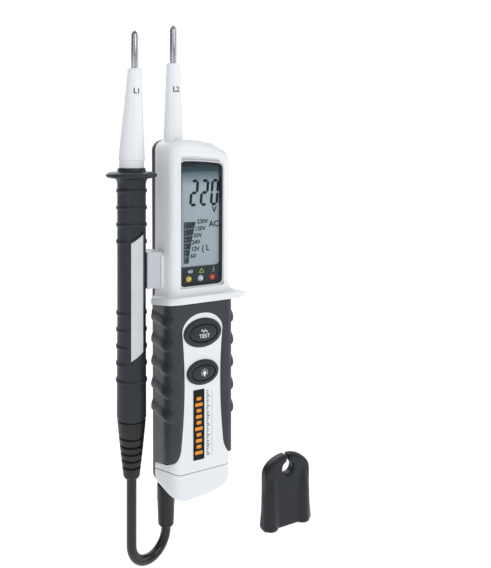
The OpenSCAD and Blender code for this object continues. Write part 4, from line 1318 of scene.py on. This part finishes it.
def add_pole_marks():
    """Marks of the two poles, printed on the sleeves."""
    first = wrapped("L1", 2.5, l1_radius, l1_axis, -13.2)
    piece("mark_l1", first, INK_DARK, "l1_probe", (), "white_sleeve")
    second = wrapped("L2", 2.5, l2_radius, lambda z: 0.0, -11.9)
    piece("mark_l2", second, INK_DARK, "tester", (), "white_sleeve")


# ---- Prints on the white body ----

def add_front_prints():
    """Generic pattern on the black strip, and fine marks beside it."""
    low, high = corners("front_label")
    x = (low.x + high.x) / 2
    bars = []
    z = low.z + 2.4
    widths = (1.0, 0.62, 0.8, 0.62)
    while z < high.z - 2.6:
        half = (high.x - low.x) / 2 * 0.68 * widths[len(bars) % 4]
        bars.append(rounded(box_rows(x - half, x + half, z, z + 1.5, 0.35), 3))
        z += 2.65
    piece("label_bars", flat_shapes(bars, low.y, 0.03), INK_ORANGE, "tester", (), "front_label")
    ticks = []
    y = PAD_Y - 0.005
    for k in range(34):
        z = low.z + 1.2 + k * 0.86
        reach = 1.7 if k % 5 == 0 else (0.95 + 0.35 * sin(k * 2.1))
        ticks.append(rounded(box_rows(x + 3.9, x + 3.9 + reach, z, z + 0.42, 0)))
    ticks.append(rounded(box_rows(x + 6.6, x + 6.72, low.z + 1.0, high.z - 1.0, 0)))
    piece("panel_marks", flat_shapes(ticks, y, 0.02), INK_DARK, "tester", (), "white_shell")


# ---- Tip guard ----

def add_guard():
    """Soft rubber tip guard: a plate with two blended sockets, a hanging hole and its slit."""
    mid, half = (GUARD_LOW.x + GUARD_HIGH.x) / 2, (GUARD_HIGH.x - GUARD_LOW.x) / 2
    base, top = BASE_Z, GUARD_HIGH.z
    hole_z, hole_r, slit = top - 6.4, 3.3, 0.6
    opening = atan2(sqrt(hole_r ** 2 - slit ** 2), slit)
    steps = 26
    sweep = 2 * pi - 2 * (pi / 2 - opening)
    hole = [Vector((mid + hole_r * cos(opening - a), hole_z + hole_r * sin(opening - a)))
            for a in spread(0, sweep, steps + 1)]
    shoulder = half - 1.3
    arch = [(mid - shoulder * sin(a), top - 8.5 * (1 - cos(a)), 0) for a in quarter(15)[1:]]
    left_rows = [(mid - slit, top - 0.05, 0)] + arch + [(mid - shoulder, base + 12, 0)]
    left_rows += [(mid - half + 0.2, base + 1.5, 0), (mid - half + 0.7, base, 0)]
    left_side = rounded(left_rows)
    right_side = [Vector((2 * mid - p.x, p.y)) for p in left_side[::-1]]
    outline = left_side + right_side + hole
    insets = ((0.9, 2.6), (0.35, 2.35), (0.0, 1.6), (0.0, -1.6), (0.35, -2.35), (0.9, -2.6))
    parts = [stack([upright(grown(outline, -inset), depth) for inset, depth in insets])]
    pitch = abs(L1_X) / 2
    for side in (-1, 1):
        rows = [(3.9, base), (4.3, base + 0.5), (4.25, base + 8), (4.1, base + 16), (3.7, base + 21),
                (2.9, base + 25.5), (1.6, base + 28.5), (0.0, base + 29.5)]
        parts.append(lathe(rows, mid + side * pitch, 0, 48))
    guard = piece("guard", merged(*parts), GUARD, None)
    socket = [(3.1, base - 2), (3.1, base + 17.5), (2.2, base + 19), (0.0, base + 19)]
    tools = [piece("guard_socket", lathe(socket, mid + side * pitch, 0, 40), GUARD, None)
             for side in (-1, 1)]
    cut_away(guard, tools)
    blend = guard.modifiers.new("blend", "REMESH")
    blend.mode, blend.voxel_size, blend.use_smooth_shade = "VOXEL", 0.38 * MM, True
    soften = guard.modifiers.new("soften", "SMOOTH")
    soften.factor, soften.iterations = 0.5, 9
    settle(guard, tools)
    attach(guard, "guard")
    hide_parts("tip_guard")


# ---- Carried-over CAD nodes ----

def dress_cad():
    """Procedural finishes on the CAD nodes that stay, with their edges eased."""
    finishes = {
        "case_seal": CORD, "case_screws": SCREW, "display_mask": MASK, "lcd_panel": display_glass(),
        "lcd_backlight": DIFFUSER, "lcd_connectors": ZEBRA, "main_board": board_green(),
        "board_chips": CHIP, "input_resistors": RESISTOR, "test_switch": DARK_PLASTIC,
        "light_switch": DARK_PLASTIC, "buzzer": CHIP, "torch_led": PLUNGER, "pin_contact_l2": BRASS,
        "test_plunger": PLUNGER, "light_plunger": PLUNGER, "battery_tray": DARK_PLASTIC,
        "battery_cells": JACKET, "battery_contacts": BRASS, "front_label": LABEL_BLACK,
        "rear_label": PLATE_GREY, "dock_rail": WHITE, "battery_springs": SPRING, "cap_seal": CORD,
        "contact_spring_l1": SPRING, "resistor_l1": RESISTOR, "dock_clip": CLIP_GREY,
        "led_yellow": lamp("led_yellow", (196, 182, 62), 0.35),
        "led_white": lamp("led_white", (188, 202, 218), 0.3),
        "led_red": lamp("led_red", (200, 62, 52), 0.35)}
    eased = {"dock_rail": 0.35, "dock_clip": 0.45, "battery_tray": 0.2, "board_chips": 0.15,
             "case_screws": 0.12, "test_switch": 0.2, "light_switch": 0.2}
    for node, material in finishes.items():
        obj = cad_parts[node]
        obj.data.materials.clear()
        obj.data.materials.append(material)
        if node in eased:
            weld = obj.modifiers.new("weld", "WELD")
            weld.merge_threshold = 0.01 * MM
            bevel = obj.modifiers.new("bevel", "BEVEL")
            bevel.width, bevel.segments = eased[node] * MM, 3
            bevel.limit_method, bevel.angle_limit = "ANGLE", radians(35)
            bevel.harden_normals = True


# ---- Stage ----

def add_floor():
    """A plain pale floor that fades into the backdrop."""
    size = 6000
    rows = [(-size, -size), (size, -size), (size, size), (-size, size)]
    mesh = bpy.data.meshes.new("floor")
    mesh.from_pydata([Vector((x, y, BASE_Z - 0.05)) * MM for x, y in rows], [], [(0, 1, 2, 3)])
    material = surface("pale_floor", (120, 122, 124), 0.8, spec=0.05, grain=0.0,
                       mottle=0.004, mottle_size=300)
    shader = material.node_tree.nodes["Principled BSDF"]
    set_inputs(shader, Emission_Color=(0.98, 0.985, 0.99, 1), Emission_Strength=1.0)
    mesh.materials.append(material)
    floor = bpy.data.objects.new("floor", mesh)
    bpy.context.scene.collection.objects.link(floor)


def add_world():
    """White surroundings: bright to the eye, softer as a light."""
    world = bpy.data.worlds.new("studio")
    world.use_nodes = True
    bpy.context.scene.world = world
    tree = world.node_tree
    back = tree.nodes["Background"]
    set_inputs(back, Color=(0.93, 0.96, 1.0, 1), Strength=0.36)
    seen = add_node(tree, "Background", Color=(1, 1, 1, 1), Strength=1.0)
    path = add_node(tree, "LightPath")
    mix = add_node(tree, "MixShader")
    tree.links.new(path.outputs["Is Camera Ray"], mix.inputs["Fac"])
    tree.links.new(back.outputs["Background"], mix.inputs[1])
    tree.links.new(seen.outputs["Background"], mix.inputs[2])
    tree.links.new(mix.outputs["Shader"], tree.nodes["World Output"].inputs["Surface"])


def add_light(name, place, target, size, power, colour=(1, 1, 1)):
    """A soft box at a place, aimed at a target, both in millimetres."""
    data = bpy.data.lights.new(name, "AREA")
    data.shape, data.size, data.size_y = "RECTANGLE", size[0] * MM, size[1] * MM
    data.energy, data.color = power, colour
    light = bpy.data.objects.new(name, data)
    light.location = Vector(place) * MM
    light.rotation_euler = (Vector(target) - Vector(place)).to_track_quat("-Z", "Y").to_euler()
    bpy.context.scene.collection.objects.link(light)


def add_lights():
    middle = (10, 0, -100)
    add_light("key", (160, -660, 280), middle, (420, 420), 1.75)
    add_light("left_strip", (-460, -440, 60), middle, (110, 700), 0.8, (0.93, 0.96, 1.0))
    add_light("right_strip", (620, -120, 0), middle, (180, 700), 1.1)
    add_light("top", (0, 60, 620), middle, (420, 300), 1.0)
    add_light("behind", (120, 620, 200), middle, (600, 400), 2.0)


def add_camera():
    """Main camera, in front of the tester and to its left. Its shift holds only at this place."""
    data = bpy.data.cameras.new("camera")
    data.lens, data.sensor_width = 40.56, 36.0
    camera = bpy.data.objects.new("camera", data)
    bpy.context.scene.collection.objects.link(camera)
    place = Vector((-128.0, -262.5, -32.5)) * MM
    camera.location = place
    camera.rotation_euler = Vector((0.438, 0.899, 0.0)).to_track_quat("-Z", "Y").to_euler()
    data.clip_start, data.clip_end = 0.01, 50
    for path, amount in (("shift_x", 0.128), ("shift_y", -0.2623)):
        driver = data.driver_add(path).driver
        driver.type = "SCRIPTED"
        variable = driver.variables.new()
        variable.name = "x"
        variable.targets[0].id = camera
        variable.targets[0].data_path = "location[0]"
        driver.expression = f"{amount} if abs(x - {place.x:.4f}) < 0.0001 else 0"
    bpy.context.scene.camera = camera


add_display_case()
add_lower_body()
add_end_cap()
add_cap_screw()
add_rear_shell()
add_flange()
add_grip()
add_window()
add_torch()
add_display()
add_indicator_prints()
add_buttons()
add_pins()
add_fixed_sleeve()
add_loose_sleeve()
add_handle()
add_reliefs()
add_lead()
add_pole_marks()
add_front_prints()
add_guard()
dress_cad()
add_floor()
add_world()
add_lights()
add_camera()
bpy.context.scene.view_settings.view_transform = "Standard"
